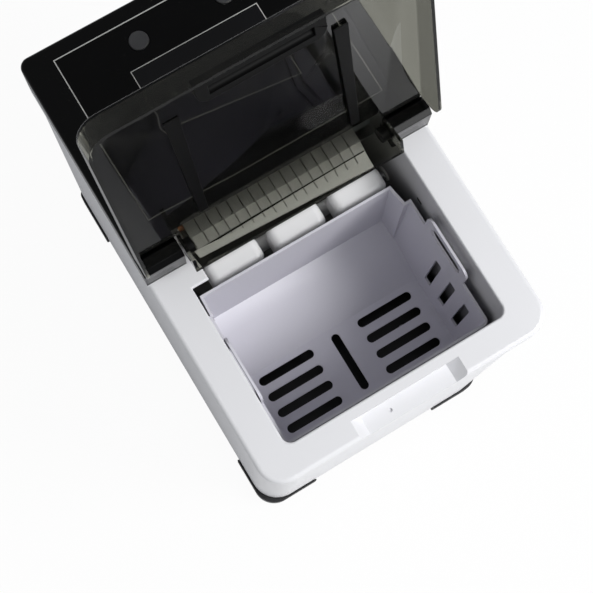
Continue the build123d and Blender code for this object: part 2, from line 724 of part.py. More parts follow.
# Ice basket with floor slots, side slots and two finger tabs
slot_outer = BASKET_HALF - BASKET_WALL - BASKET_DRAFT - SLOT_WALL_GAP
slot_front = BASKET_FRONT + BASKET_WALL + BASKET_DRAFT + SLOT_FRONT_GAP
slot_back = slot_front + (SLOT_ROWS - 1) * SLOT_PITCH
tab_low = BASKET_FRONT + TAB_FRONT
tab_mid = tab_low + TAB_LENGTH / 2
tab_top = BASKET_RIM + TAB_RISE
with BuildPart() as ice_basket:
    with BuildSketch(Plane.XY.offset(BASKET_UNDER)):
        basket_outline(0, BASKET_DRAFT, BASKET_STEP_LOW)
    with BuildSketch(Plane.XY.offset(BASKET_RIM)):
        basket_outline(0, 0, BASKET_STEP)
    loft(ruled=True)
    add(basket_space.part, mode=Mode.SUBTRACT)
    add(basket_ramp.part)
    with BuildSketch(Plane.XY.offset(BASKET_UNDER)):
        for row in range(SLOT_ROWS):
            for side in (-1, 1):
                slot_x = BASKET_X + side * (SLOT_MID_GAP + slot_outer) / 2
                with Locations((slot_x, slot_front + row * SLOT_PITCH)):
                    SlotOverall(slot_outer - SLOT_MID_GAP, SLOT_W)
        with Locations((BASKET_X, (slot_front + slot_back) / 2)):
            SlotOverall(slot_back - slot_front + SLOT_W, SLOT_W, rotation=90)
    extrude(amount=BASKET_WALL, mode=Mode.SUBTRACT)
    side_low = BASKET_FLOOR + SIDE_SLOT_LOW
    side_high = BASKET_RIM - SIDE_SLOT_HIGH
    with BuildSketch(Plane.YZ):
        for number in range(SIDE_SLOTS):
            y = BASKET_FRONT + SIDE_SLOT_FRONT + SIDE_SLOT_W / 2 + number * SIDE_SLOT_PITCH
            with Locations((y, (side_low + side_high) / 2)):
                RectangleRounded(SIDE_SLOT_W, side_high - side_low, SIDE_SLOT_W / 4)
    extrude(amount=WELL_HALF, both=True, mode=Mode.SUBTRACT)
    for side in (-1, 1):
        with BuildSketch(Plane.YZ.offset(BASKET_X + side * BASKET_HALF)):
            with Locations((tab_mid, (BASKET_RIM - TAB_R + tab_top) / 2)):
                RectangleRounded(TAB_LENGTH, tab_top - BASKET_RIM + TAB_R, TAB_R)
            with Locations((tab_mid, tab_top - GRIP_SLOT_DROP)):
                SlotOverall(GRIP_SLOT_L, GRIP_SLOT_H, mode=Mode.SUBTRACT)
        extrude(amount=-side * TAB_T)
keep(ice_basket, "ice_basket")

# Hinge caps: black blocks at both front ends of the rear housing, each holding a pin
for name, side in (("hinge_cap_left", -1), ("hinge_cap_right", 1)):
    with BuildPart() as hinge_cap:
        block(*sorted((side * CAP_INNER, side * HALF_W)), HOUSING_FRONT, CAP_BACK, DECK_Z, HOUSING_TOP)
        cap_top = hinge_cap.faces().sort_by(Axis.Z)[-1].edges().filter_by(Axis.X).sort_by(Axis.Y)
        chamfer(cap_top, length=CAP_BEVEL)
        groove = DECK_Z + CAP_GROOVE_Z
        block(
            -HALF_W, HALF_W, HOUSING_FRONT, HOUSING_FRONT + CAP_GROOVE,
            groove, groove + CAP_GROOVE, Mode.SUBTRACT,
        )
        pin_end = side * (CAP_INNER - PIN_GRIP + PIN_LENGTH + FIT)
        rod_x(*sorted((side * (CAP_INNER - MARGIN), pin_end)), HINGE_Y, HINGE_Z, PIN_R + RUN_FIT, Mode.SUBTRACT)
    keep(hinge_cap, name)

with BuildPart() as hinge_pins:
    for side in (-1, 1):
        pin_start = side * (CAP_INNER - PIN_GRIP)
        pin_end = side * (CAP_INNER - PIN_GRIP + PIN_LENGTH)
        rod_x(*sorted((pin_start, pin_end)), HINGE_Y, HINGE_Z, PIN_R)
keep(hinge_pins, "hinge_pins")

# Lid, drawn closed on planes that stand at the open angle
lid_up = (0, sin(radians(LID_OPEN)), cos(radians(LID_OPEN)))
lid_plane = Plane(origin=(0, HINGE_Y, HINGE_Z), x_dir=(1, 0, 0), z_dir=lid_up)
lid_side = Plane(origin=lid_plane.origin, x_dir=lid_plane.y_dir, z_dir=lid_plane.x_dir)
LIP = LID_GAP - HINGE_RISE
LID_REAR_TOP = HOUSING_RISE - HINGE_RISE
LID_FRONT = -HALF_D - HINGE_Y - LID_OVERHANG
LID_HALF = HALF_W - LID_SIDE_INSET
LID_REAR_HALF = CAP_INNER - LID_CAP_GAP


def lid_plan(inset, jog):
    """Plan of the closed lid: round front corners, stepped in at the jog between the hinge caps."""
    half = LID_HALF - inset
    rear_half = LID_REAR_HALF - inset
    Polygon(
        (half, LID_FRONT + inset), (half, jog), (rear_half, jog), (rear_half, LID_WALL - inset),
        (-rear_half, LID_WALL - inset), (-rear_half, jog), (-half, jog), (-half, LID_FRONT + inset),
        align=None,
    )
    fillet(vertices().group_by(Axis.Y)[0], radius=LID_CORNER_R - inset)


def lid_top_at(y):
    """Height of the closed lid's sloping top above the hinge line."""
    front_top = LIP + LID_FRONT_DEPTH
    return LID_REAR_TOP + (front_top - LID_REAR_TOP) * (y - LID_WALL) / (LID_FRONT - LID_WALL)


def above_lid(drop):
    """Side view of everything above the closed lid's sloping top, lowered by the drop."""
    Polygon(
        (LID_WALL, lid_top_at(LID_WALL) - drop), (LID_FRONT, lid_top_at(LID_FRONT) - drop),
        (LID_FRONT, HALF_D), (LID_WALL, HALF_D), align=None,
    )


with BuildPart() as lid_space:
    with BuildSketch(lid_plane.offset(LIP)):
        lid_plan(LID_WALL, MARGIN - LID_JOG)
    extrude(amount=LID_REAR_TOP - LIP)
    with BuildSketch(lid_side):
        above_lid(LID_WALL)
    extrude(amount=HALF_W, both=True, mode=Mode.SUBTRACT)

with BuildPart() as lid_shell:
    with BuildSketch(lid_plane.offset(LIP)):
        lid_plan(0, -LID_JOG)
    extrude(amount=LID_REAR_TOP - LIP)
    with BuildSketch(lid_side):
        above_lid(0)
    extrude(amount=HALF_W, both=True, mode=Mode.SUBTRACT)
    lid_top = lid_shell.faces().sort_by(Axis(lid_plane.origin, lid_plane.z_dir))[-1]
    fillet(lid_top.edges(), radius=LID_EDGE_R)
    heels = [
        edge for edge in lid_shell.edges().filter_by(Axis.X)
        if (lid_plane.to_local_coords(edge.center()) - Vector(edge.center().X, -LID_JOG, LIP)).length < FIT
    ]
    fillet(heels, radius=LID_HEEL_R)
    add(lid_space.part, mode=Mode.SUBTRACT)
    for side in (-1, 1):
        with BuildSketch(lid_side.offset(side * (LID_REAR_HALF - KNUCKLE_LENGTH))):
            Circle(KNUCKLE_R)
        extrude(amount=side * KNUCKLE_LENGTH)
        with BuildSketch(lid_side.offset(side * (LID_REAR_HALF - PIN_GRIP - FIT))):
            Circle(PIN_R + RUN_FIT)
        extrude(amount=side * (PIN_GRIP + FIT + MARGIN), mode=Mode.SUBTRACT)
keep(lid_shell, "lid_shell")

# Two tapered ribs along the inside of the lid's top
rib_foot = lid_top_at(-RIB_NEAR) - LID_WALL
rib_end = lid_top_at(-RIB_FAR) - LID_WALL
with BuildPart() as lid_ribs:
    with BuildSketch(lid_side):
        Polygon(
            (-RIB_NEAR, rib_foot), (-RIB_FAR, rib_end),
            (-RIB_FAR, rib_end - RIB_END_H), (-RIB_NEAR, rib_foot - RIB_H), align=None,
        )
    extrude(amount=LID_HALF, both=True)
    with BuildSketch(lid_plane.offset(LIP)):
        for x in (-RIB_X, RIB_X):
            Polygon(
                (x - RIB_W / 2, -RIB_FAR), (x + RIB_W / 2, -RIB_FAR),
                (x + RIB_FOOT_W / 2, -RIB_NEAR), (x - RIB_FOOT_W / 2, -RIB_NEAR), align=None,
            )
    extrude(amount=LID_REAR_TOP - LIP, mode=Mode.INTERSECT)
keep(lid_ribs, "lid_ribs")

# Finger grip behind the lid's front wall
with BuildPart() as lid_grip:
    grip_front = LID_FRONT + LID_WALL
    with BuildSketch(lid_plane.offset(LIP + LID_GAP)):
        field(-LID_GRIP_W / 2, LID_GRIP_W / 2, grip_front, grip_front + LID_GRIP_DEPTH)
        fillet(vertices().group_by(Axis.Y)[-1], radius=LID_GRIP_DEPTH / 2)
    extrude(amount=LID_GRIP_T)
    groove_plane = lid_side.offset(-LID_GRIP_W / 2 + LID_GRIP_DEPTH / 2)
    with BuildSketch(groove_plane):
        with Locations((grip_front + LID_GRIP_DEPTH / 2, LIP + LID_GAP)):
            Circle(LID_GRIP_SCOOP_R)
    extrude(amount=LID_GRIP_W - LID_GRIP_DEPTH, mode=Mode.SUBTRACT)
keep(lid_grip, "lid_grip")

# Places on the control panel
light_y = (LENS_FRONT + LENS_BACK) / 2
light_places = [((number - (LIGHTS - 1) / 2) * LIGHT_PITCH, light_y) for number in range(LIGHTS)]
button_places = (("power_button", BUTTON_X), ("select_button", -BUTTON_X))
switch_top = BUTTON_BOTTOM - BUTTON_TRAVEL - FIT
display_top = switch_top - SWITCH_H
display_posts = [
    (x, y)
    for x in (-DISPLAY_BOARD_HALF + BOARD_INSET, DISPLAY_BOARD_HALF - BOARD_INSET)
    for y in (DISPLAY_BOARD_FRONT + BOARD_INSET, DISPLAY_BOARD_BACK - BOARD_INSET)
]

# Rear housing: hollow, stepped back between the hinge caps, with a pocket for the panel
with BuildPart() as rear_housing:
    with BuildSketch(Plane.XY.offset(DECK_Z)):
        outline(0)
        field(-HALF_W, HALF_W, -HALF_D, CAP_BACK + FIT, Mode.SUBTRACT)
    extrude(amount=HOUSING_RISE)
    rim = rear_housing.faces().sort_by(Axis.Z)[-1].edges()
    fillet(rim.filter_by_position(Axis.Y, CAP_BACK + MARGIN, HALF_D + MARGIN), radius=HOUSING_EDGE_R)
    with BuildSketch(Plane.XY.offset(DECK_Z)):
        outline(HOUSING_WALL)
        field(-HALF_W, HALF_W, -HALF_D, CAP_BACK + FIT + HOUSING_WALL, Mode.SUBTRACT)
    extrude(amount=HOUSING_RISE - HOUSING_PLATE, mode=Mode.SUBTRACT)
    block(-CAP_INNER, CAP_INNER, CAP_BACK, RECESS_BACK, DECK_Z, HOUSING_TOP, Mode.SUBTRACT)
    block(
        -CAP_INNER, CAP_INNER, RECESS_BACK, RECESS_BACK + HOUSING_WALL,
        HOUSING_TOP - RECESS_LIP, HOUSING_UNDER,
    )
    wall_x = HALF_W - HOUSING_WALL / 2
    block(-wall_x, wall_x, OPENING_BACK, OPENING_BACK + HOUSING_WALL, DECK_Z, HOUSING_UNDER)
    block(
        -PANEL_HALF - FIT, PANEL_HALF + FIT, PANEL_FRONT - FIT, PANEL_BACK + FIT,
        PANEL_Z, HOUSING_TOP, Mode.SUBTRACT,
    )
    for x, y in display_posts:
        rod_z(x, y, display_top, HOUSING_UNDER, POST_R)
    for name, x in button_places:
        rod_z(x, BUTTON_Y, HOUSING_UNDER - MARGIN, HOUSING_TOP, BUTTON_R + FIT, Mode.SUBTRACT)
    for x, y in light_places:
        rod_z(x, y, HOUSING_UNDER - MARGIN, HOUSING_TOP, LIGHT_R + FIT, Mode.SUBTRACT)
keep(rear_housing, "rear_housing")

# Control panel and the display lens set into it
with BuildPart() as control_panel:
    block(-PANEL_HALF, PANEL_HALF, PANEL_FRONT, PANEL_BACK, PANEL_Z, HOUSING_TOP)
    block(
        -LENS_HALF - FIT, LENS_HALF + FIT, LENS_FRONT - FIT, LENS_BACK + FIT,
        PANEL_Z, HOUSING_TOP, Mode.SUBTRACT,
    )
    for name, x in button_places:
        rod_z(x, BUTTON_Y, PANEL_Z, HOUSING_TOP, BUTTON_R + FIT, Mode.SUBTRACT)
keep(control_panel, "control_panel")

with BuildPart() as display_lens:
    block(-LENS_HALF, LENS_HALF, LENS_FRONT, LENS_BACK, PANEL_Z, HOUSING_TOP)
keep(display_lens, "display_lens")

with BuildPart() as light_pipes:
    for x, y in light_places:
        rod_z(x, y, display_top, PANEL_Z, LIGHT_R)
keep(light_pipes, "light_pipes")

# Push buttons: a cap through the panel, a flange under the housing, a stem over a switch
for name, x in button_places:
    with BuildPart() as button:
        rod_z(x, BUTTON_Y, HOUSING_UNDER - BUTTON_FLANGE_T, HOUSING_TOP + BUTTON_PROUD, BUTTON_R)
        fillet(button.edges().sort_by(Axis.Z)[-1], radius=BUTTON_PROUD / 2)
        rod_z(x, BUTTON_Y, HOUSING_UNDER - BUTTON_FLANGE_T, HOUSING_UNDER, BUTTON_FLANGE_R)
        rod_z(x, BUTTON_Y, BUTTON_BOTTOM, HOUSING_UNDER - BUTTON_FLANGE_T, BUTTON_STEM_R)
    keep(button, name)

# Display board under the housing, with a switch below each button
with BuildPart() as display_board:
    block(
        -DISPLAY_BOARD_HALF, DISPLAY_BOARD_HALF, DISPLAY_BOARD_FRONT, DISPLAY_BOARD_BACK,
        display_top - BOARD_T, display_top,
    )
    for name, x in button_places:
        half = SWITCH_SIZE / 2
        block(x - half, x + half, BUTTON_Y - half, BUTTON_Y + half, display_top, switch_top)
keep(display_board, "display_board")

# Control board on posts that stand on the deck
board_z = DECK_Z + POST_H
board_mid = (CONTROL_BOARD_FRONT + CONTROL_BOARD_BACK) / 2
with BuildPart() as control_board:
    block(
        -CONTROL_BOARD_HALF, CONTROL_BOARD_HALF, CONTROL_BOARD_FRONT, CONTROL_BOARD_BACK,
        board_z, board_z + BOARD_T,
    )
    relay_front = CONTROL_BOARD_FRONT + RELAY_EDGE
    for number in range(-1, 2):
        x = number * 2 * RELAY_W
        block(
            x - RELAY_W / 2, x + RELAY_W / 2, relay_front, relay_front + RELAY_D,
            board_z + BOARD_T, board_z + BOARD_T + RELAY_H,
        )
keep(control_board, "control_board")

with BuildPart() as board_posts:
    with Locations((0, board_mid, DECK_Z)):
        with GridLocations(
            2 * (CONTROL_BOARD_HALF - BOARD_INSET),
            CONTROL_BOARD_BACK - CONTROL_BOARD_FRONT - 2 * BOARD_INSET, 2, 2,
        ):
            Cylinder(POST_R, POST_H, align=(Align.CENTER, Align.CENTER, Align.MIN))
keep(board_posts, "board_posts")

# Ice shovel: three soft lobes on arms from a hub
lobe_top = DECK_Z - LOBE_TOP_DROP
with BuildPart() as lobe:
    block(-LOBE_W / 2, LOBE_W / 2, LOBE_FRONT, LOBE_BACK, lobe_top - LOBE_H, lobe_top)
    fillet(lobe.edges(), radius=LOBE_R)

with BuildPart() as ice_shovel:
    rod_x(-ROOM_HALF, ROOM_HALF, SHOVEL_Y, SHOVEL_Z, HUB_R)
    for number in (-1, 0, 1):
        x = LOBE_X + number * LOBE_PITCH
        with Locations((x, 0, 0)):
            add(lobe.part)
        block(
            x - ARM_W / 2, x + ARM_W / 2, SHOVEL_Y - HUB_R, LOBE_BACK,
            SHOVEL_Z, lobe_top - LOBE_H / 2,
        )
    rod_x(-ROOM_HALF, ROOM_HALF, SHOVEL_Y, SHOVEL_Z, SHAFT_R + RUN_FIT, Mode.SUBTRACT)
keep(ice_shovel, "ice_shovel")

with BuildPart() as shovel_shaft:
    rod_x(-TANK_X, TANK_X, SHOVEL_Y, SHOVEL_Z, SHAFT_R)
keep(shovel_shaft, "shovel_shaft")

# Water tray with an ear at each end on the tilting shaft
tray_top = DECK_Z - TRAY_TOP_DROP
tray_low = tray_top - TRAY_H
with BuildPart() as water_tray:
    block(-ROOM_HALF, ROOM_HALF, TRAY_FRONT, TRAY_BACK, tray_low, tray_top)
    block(
        -ROOM_HALF + TRAY_WALL, ROOM_HALF - TRAY_WALL, TRAY_FRONT + TRAY_WALL, TRAY_BACK - TRAY_WALL,
        tray_low + TRAY_WALL, tray_top, Mode.SUBTRACT,
    )
    for side in (-1, 1):
        ear = sorted((side * ROOM_HALF, side * (ROOM_HALF - 2 * TRAY_WALL)))
        rod_x(*ear, TRAY_AXIS_Y, TRAY_AXIS_Z, EAR_R)
        block(*ear, TRAY_BACK - TRAY_WALL, TRAY_AXIS_Y, TRAY_AXIS_Z - EAR_R, tray_top)
        rod_x(*ear, TRAY_AXIS_Y, TRAY_AXIS_Z, SHAFT_R + RUN_FIT, Mode.SUBTRACT)
keep(water_tray, "water_tray")

with BuildPart() as tray_shaft:
    rod_x(-TANK_X - MOTOR_BORE + FIT, TANK_X, TRAY_AXIS_Y, TRAY_AXIS_Z, SHAFT_R)
keep(tray_shaft, "tray_shaft")

with BuildPart() as shaft_bushes:
    for y, z in shaft_places:
        for side in (-1, 1):
            rod_x(*sorted((side * WELL_HALF, side * TANK_X)), y, z, BUSH_R)
            rod_x(*sorted((side * WELL_HALF, side * (WELL_HALF - BUSH_FLANGE_T))), y, z, BUSH_FLANGE_R)
        rod_x(-TANK_X, TANK_X, y, z, SHAFT_R + RUN_FIT, Mode.SUBTRACT)
keep(shaft_bushes, "shaft_bushes")

with BuildPart() as tray_motor:
    rod_x(-TANK_X - MOTOR_LENGTH, -TANK_X, TRAY_AXIS_Y, TRAY_AXIS_Z, MOTOR_R)
    rod_x(-TANK_X - MOTOR_BORE, -TANK_X, TRAY_AXIS_Y, TRAY_AXIS_Z, SHAFT_R + RUN_FIT, Mode.SUBTRACT)
keep(tray_motor, "tray_motor")

# Evaporator: a plate with fingers that hang into the tray
evap_half = ROOM_HALF - TRAY_WALL
with BuildPart() as evaporator_plate:
    block(-evap_half, evap_half, EVAP_FRONT, EVAP_BACK, EVAP_UNDER, EVAP_UNDER + EVAP_T)
    fillet(evaporator_plate.edges().filter_by(Axis.Z), radius=EVAP_EDGE_R)
keep(evaporator_plate, "evaporator_plate")

with BuildPart() as evaporator_fingers:
    for row in (0, 1):
        count = FRONT_FINGERS - row
        y = FINGER_FRONT + row * FINGER_ROW_PITCH
        for number in range(count):
            x = (number - (count - 1) / 2) * FINGER_PITCH
            rod_z(x, y, EVAP_UNDER - FINGER_L, EVAP_UNDER, FINGER_R)
    tips = evaporator_fingers.edges().filter_by(GeomType.CIRCLE).group_by(Axis.Z)[0]
    fillet(tips, radius=FINGER_TIP_R)
keep(evaporator_fingers, "evaporator_fingers")

with BuildPart() as evaporator_bracket:
    block(
        -BRACKET_HALF, BRACKET_HALF, EVAP_BACK, EVAP_BACK + BRACKET_REACH,
        DECK_UNDER - BRACKET_T, DECK_UNDER,
    )
    block(
        -BRACKET_HALF, BRACKET_HALF, EVAP_BACK, EVAP_BACK + BRACKET_FLANGE,
        DECK_UNDER - BRACKET_DROP, DECK_UNDER - BRACKET_T,
    )
keep(evaporator_bracket, "evaporator_bracket")

# Slitted cover above the evaporator, folded down at its front along a groove
cover_top = DECK_Z - COVER_DROP
with BuildPart() as chute_cover:
    with BuildSketch(Plane.YZ):
        with BuildLine():
            Polyline(
                (COVER_FRONT, cover_top - COVER_DIP), (COVER_FOLD, cover_top), (EVAP_BACK, cover_top),
                (EVAP_BACK, cover_top - COVER_T), (COVER_FOLD, cover_top - COVER_T),
                (COVER_FRONT, cover_top - COVER_DIP - COVER_T), close=True,
            )
        make_face()
    extrude(amount=ROOM_HALF, both=True)
    for number in range(SLITS):
        x = (number - (SLITS - 1) / 2) * SLIT_PITCH
        block(
            x - SLIT_W / 2, x + SLIT_W / 2, COVER_FOLD - SLIT_OVER, SLIT_BACK,
            cover_top - COVER_DIP - COVER_T, cover_top, Mode.SUBTRACT,
        )
    block(
        -ROOM_HALF, ROOM_HALF, COVER_FOLD - FOLD_GROOVE / 2, COVER_FOLD + FOLD_GROOVE / 2,
        cover_top - FOLD_GROOVE, cover_top, Mode.SUBTRACT,
    )
keep(chute_cover, "chute_cover")

# Pump under the well and the hose from it to the tray
nozzle_z = TANK_UNDER - NOZZLE_DROP
nozzle_end = PUMP_X + PUMP_R + NOZZLE_L
with BuildPart() as water_pump:
    rod_z(*pump_place, TANK_UNDER - PUMP_H, TANK_UNDER, PUMP_R)
    rod_x(PUMP_X, nozzle_end, PUMP_Y, nozzle_z, NOZZLE_R)
    rod_z(*pump_place, TANK_UNDER - PUMP_H / 3, TANK_UNDER, INLET_R, Mode.SUBTRACT)
keep(water_pump, "water_pump")

pump_hose = pipe(
    (
        (nozzle_end, PUMP_Y, nozzle_z), (SIDE_LANE, PUMP_Y, nozzle_z), (SIDE_LANE, HOSE_Y, nozzle_z),
        (SIDE_LANE, HOSE_Y, hose_z), (SPOUT_X, HOSE_Y, hose_z),
    ),
    HOSE_BEND, HOSE_R, HOSE_BORE,
)
keep(pump_hose, "pump_hose")

# Drain pipe from the well's floor to the cap in the right wall
plug_end = SHELL_X - DRAIN_CAP_REACH
drain_pipe = pipe(
    ((*drain_place, TANK_UNDER), (*drain_place, DRAIN_Z), (plug_end - FIT, DRAIN_Y, DRAIN_Z)),
    HOSE_BEND, DRAIN_R, DRAIN_BORE,
)
keep(drain_pipe, "drain_pipe")

with BuildPart() as drain_cap:
    rod_x(plug_end, SHELL_X + FIT, DRAIN_Y, DRAIN_Z, DRAIN_CAP_R - FIT)
    rod_x(SHELL_X + FIT, SHELL_X + FIT + DRAIN_FLANGE_T, DRAIN_Y, DRAIN_Z, DRAIN_FLANGE_R)
keep(drain_cap, "drain_cap")

# Compressor on a base plate, rubber grommets and bolts
bolt_places = [
    (COMP_X + i * COMP_BOLT_OFFSET, COMP_Y + j * COMP_BOLT_OFFSET) for i in (-1, 1) for j in (-1, 1)
]
comp_floor = COMP_BASE_Z + COMP_BASE_T
with BuildPart() as compressor:
    rod_z(COMP_X, COMP_Y, comp_floor, COMP_TOP, COMP_R)
    fillet(compressor.edges().filter_by(GeomType.CIRCLE), radius=COMP_EDGE_R)
keep(compressor, "compressor")

with BuildPart() as compressor_base:
    with BuildSketch(Plane.XY.offset(COMP_BASE_Z)):
        with Locations((COMP_X, COMP_Y)):
            RectangleRounded(2 * COMP_BASE_HALF, 2 * COMP_BASE_HALF, COMP_BASE_R)
        with Locations(*bolt_places):
            Circle(BOLT_R + RUN_FIT, mode=Mode.SUBTRACT)
    extrude(amount=COMP_BASE_T)
keep(compressor_base, "compressor_base")

with BuildPart() as compressor_grommets:
    for x, y in bolt_places:
        rod_z(x, y, PAN_TOP, COMP_BASE_Z, GROMMET_R)
        rod_z(x, y, PAN_TOP, COMP_BASE_Z, BOLT_R + RUN_FIT, Mode.SUBTRACT)
keep(compressor_grommets, "compressor_grommets")

with BuildPart() as compressor_bolts:
    for x, y in bolt_places:
        rod_z(x, y, PAN_TOP, comp_floor, BOLT_R)
        rod_z(x, y, comp_floor, comp_floor + BOLT_HEAD_H, BOLT_HEAD_R)
keep(compressor_bolts, "compressor_bolts")

# Condenser: a core with flat fins to the front and back
cond_top = COND_Z + COND_H
cond_mid = (COND_FRONT + COND_BACK) / 2
fin_pitch = (COND_H + COND_FIN_GAP) / COND_FINS
with BuildPart() as condenser:
    block(COND_LEFT, COND_RIGHT, COND_FRONT, COND_BACK, COND_Z, cond_top)
    for number in range(1, COND_FINS):
        z = COND_Z + number * fin_pitch - COND_FIN_GAP
        for y0, y1 in ((COND_FRONT, cond_mid - COND_CORE / 2), (cond_mid + COND_CORE / 2, COND_BACK)):
            block(COND_LEFT, COND_RIGHT, y0, y1, z, z + COND_FIN_GAP, Mode.SUBTRACT)
keep(condenser, "condenser")

# Fan: shroud on the condenser, motor on arms in front of it, rotor between
with BuildPart() as fan_shroud:
    block(COND_LEFT, COND_RIGHT, COND_FRONT - SHROUD_T, COND_FRONT, COND_Z, cond_top)
    rod_y(FAN_X, COND_FRONT - SHROUD_T, COND_FRONT, FAN_Z, FAN_R + FAN_TIP_GAP, Mode.SUBTRACT)
keep(fan_shroud, "fan_shroud")

motor_back = FAN_FRONT - FAN_MOTOR_GAP
motor_front = motor_back - FAN_MOTOR_L
with BuildPart() as fan_motor:
    rod_y(FAN_X, motor_front, motor_back, FAN_Z, FAN_MOTOR_R)
    arm_reach = FAN_R + FAN_TIP_GAP + FAN_ARM_T
    arm_mid = (motor_front + motor_back) / 2
    block(
        FAN_X - arm_reach, FAN_X + arm_reach, arm_mid - FAN_ARM_T / 2, arm_mid + FAN_ARM_T / 2,
        FAN_Z - FAN_ARM_W / 2, FAN_Z + FAN_ARM_W / 2,
    )
    for side in (-1, 1):
        post = sorted((FAN_X + side * arm_reach, FAN_X + side * (arm_reach - FAN_ARM_T)))
        block(
            *post, arm_mid, COND_FRONT - SHROUD_T,
            FAN_Z - FAN_ARM_W / 2, FAN_Z + FAN_ARM_W / 2,
        )
    rod_y(FAN_X, motor_back - FAN_MOTOR_L / 4, motor_back, FAN_Z, FAN_SHAFT_R + RUN_FIT, Mode.SUBTRACT)
keep(fan_motor, "fan_motor")

fan_mid = (FAN_FRONT + FAN_BACK) / 2
blade_chord = FAN_DEPTH / sin(radians(FAN_BLADE_TILT)) * 0.8
with BuildPart() as fan_rotor:
    rod_y(FAN_X, FAN_FRONT, FAN_BACK, FAN_Z, FAN_HUB_R)
    for number in range(FAN_BLADES):
        turn = Location((FAN_X, fan_mid, FAN_Z), (0, number * 360 / FAN_BLADES, 0))
        reach = Location((FAN_R / 2, 0, 0), (FAN_BLADE_TILT, 0, 0))
        with Locations(turn * reach):
            Box(FAN_R, FAN_BLADE_T, blade_chord)
    rod_y(FAN_X, FAN_FRONT, FAN_BACK, FAN_Z, FAN_R, Mode.INTERSECT)
    rod_y(FAN_X, motor_back - FAN_MOTOR_L / 4 + FIT, FAN_FRONT + FAN_DEPTH / 2, FAN_Z, FAN_SHAFT_R)
keep(fan_rotor, "fan_rotor")

# Drier and the refrigerant pipes
with BuildPart() as filter_drier:
    rod_z(SIDE_LANE, DRIER_Y, DRIER_Z, DRIER_Z + DRIER_L, DRIER_R)
    chamfer(filter_drier.edges().filter_by(GeomType.CIRCLE), length=DRIER_R / 2)
keep(filter_drier, "filter_drier")

drier_pipe = pipe(
    (
        (COND_RIGHT, cond_mid, DRIER_FEED_Z), (SIDE_LANE, cond_mid, DRIER_FEED_Z),
        (SIDE_LANE, DRIER_Y, DRIER_FEED_Z), (SIDE_LANE, DRIER_Y, DRIER_Z),
    ),
    PIPE_BEND, PIPE_R,
)
keep(drier_pipe, "drier_pipe")

liquid_pipe = pipe(
    (
        (SIDE_LANE, DRIER_Y, DRIER_Z + DRIER_L), (SIDE_LANE, DRIER_Y, PIPE_Z),
        (evap_half, DRIER_Y, PIPE_Z),
    ),
    PIPE_BEND, PIPE_R,
)
keep(liquid_pipe, "liquid_pipe")

riser_y = TANK_BACK + RISER_CLEAR
suction_pipe = pipe(
    (
        (-evap_half, SUCTION_Y, PIPE_Z), (suction_x, SUCTION_Y, PIPE_Z),
        (suction_x, riser_y, PIPE_Z), (suction_x, riser_y, COMP_TOP),
    ),
    PIPE_BEND, SUCTION_R,
)
keep(suction_pipe, "suction_pipe")

discharge_x = COMP_X + DISCHARGE_SIDE
discharge_top = cond_top + DISCHARGE_RISE
discharge_end = COND_LEFT + COND_W / 4
discharge_pipe = pipe(
    (
        (discharge_x, riser_y, COMP_TOP), (discharge_x, riser_y, discharge_top),
        (discharge_end, riser_y, discharge_top), (discharge_end, cond_mid, discharge_top),
        (discharge_end, cond_mid, cond_top),
    ),
    PIPE_BEND, PIPE_R,
)
keep(discharge_pipe, "discharge_pipe")

# Louvred back panel, its screws and the power inlet
louvre_pitch = (BACK_PANEL_HIGH - BACK_PANEL_LOW - 2 * LOUVRE_EDGE) / (LOUVRES - 1)
louvre_outer = BACK_PANEL_HALF - LOUVRE_EDGE
with BuildPart() as rear_panel:
    block(-BACK_PANEL_HALF, BACK_PANEL_HALF, SHELL_Y, HALF_D, BACK_PANEL_LOW, BACK_PANEL_HIGH)
    with BuildSketch(Plane.XZ.offset(-HALF_D)):
        for number in range(LOUVRES):
            for side in (-1, 1):
                z = BACK_PANEL_LOW + LOUVRE_EDGE + number * louvre_pitch
                with Locations((side * (louvre_outer + LOUVRE_H) / 2, z)):
                    SlotOverall(louvre_outer - LOUVRE_H, LOUVRE_H)
    extrude(amount=SHELL_INSET, mode=Mode.SUBTRACT)
    for x, z in screw_places:
        rod_y(x, SHELL_Y, HALF_D, z, SCREW_R + RUN_FIT, Mode.SUBTRACT)
        rod_y(x, HALF_D - SCREW_HEAD_H, HALF_D, z, SCREW_HEAD_R + FIT, Mode.SUBTRACT)
keep(rear_panel, "rear_panel")

with BuildPart() as rear_panel_screws:
    for x, z in screw_places:
        rod_y(x, HALF_D - SCREW_HEAD_H, HALF_D, z, SCREW_HEAD_R)
        rod_y(x, HALF_D - SCREW_HEAD_H - SCREW_L, HALF_D - SCREW_HEAD_H, z, SCREW_R)
keep(rear_panel_screws, "rear_panel_screws")

socket_floor = SHELL_Y - INLET_L + INLET_WALL
with BuildPart() as power_inlet:
    half_x = INLET_W / 2
    half_z = INLET_H / 2
    block(INLET_X - half_x, INLET_X + half_x, SHELL_Y - INLET_L, SHELL_Y, INLET_Z - half_z, INLET_Z + half_z)
    flange_x = half_x + INLET_FLANGE
    flange_z = half_z + INLET_FLANGE
    block(INLET_X - flange_x, INLET_X + flange_x, SHELL_Y, HALF_D, INLET_Z - flange_z, INLET_Z + flange_z)
    hole_x = half_x - INLET_WALL
    hole_z = half_z - INLET_WALL
    block(
        INLET_X - hole_x, INLET_X + hole_x, socket_floor, HALF_D,
        INLET_Z - hole_z, INLET_Z + hole_z, Mode.SUBTRACT,
    )
    for number in (-1, 0, 1):
        x = INLET_X + number * 2.5 * INLET_PIN
        block(
            x - INLET_PIN / 2, x + INLET_PIN / 2, socket_floor, SHELL_Y - 2 * INLET_PIN,
            INLET_Z - INLET_PIN, INLET_Z + INLET_PIN,
        )
keep(power_inlet, "power_inlet")
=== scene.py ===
import json
import math

import bmesh
import bpy
from mathutils import Matrix, Vector


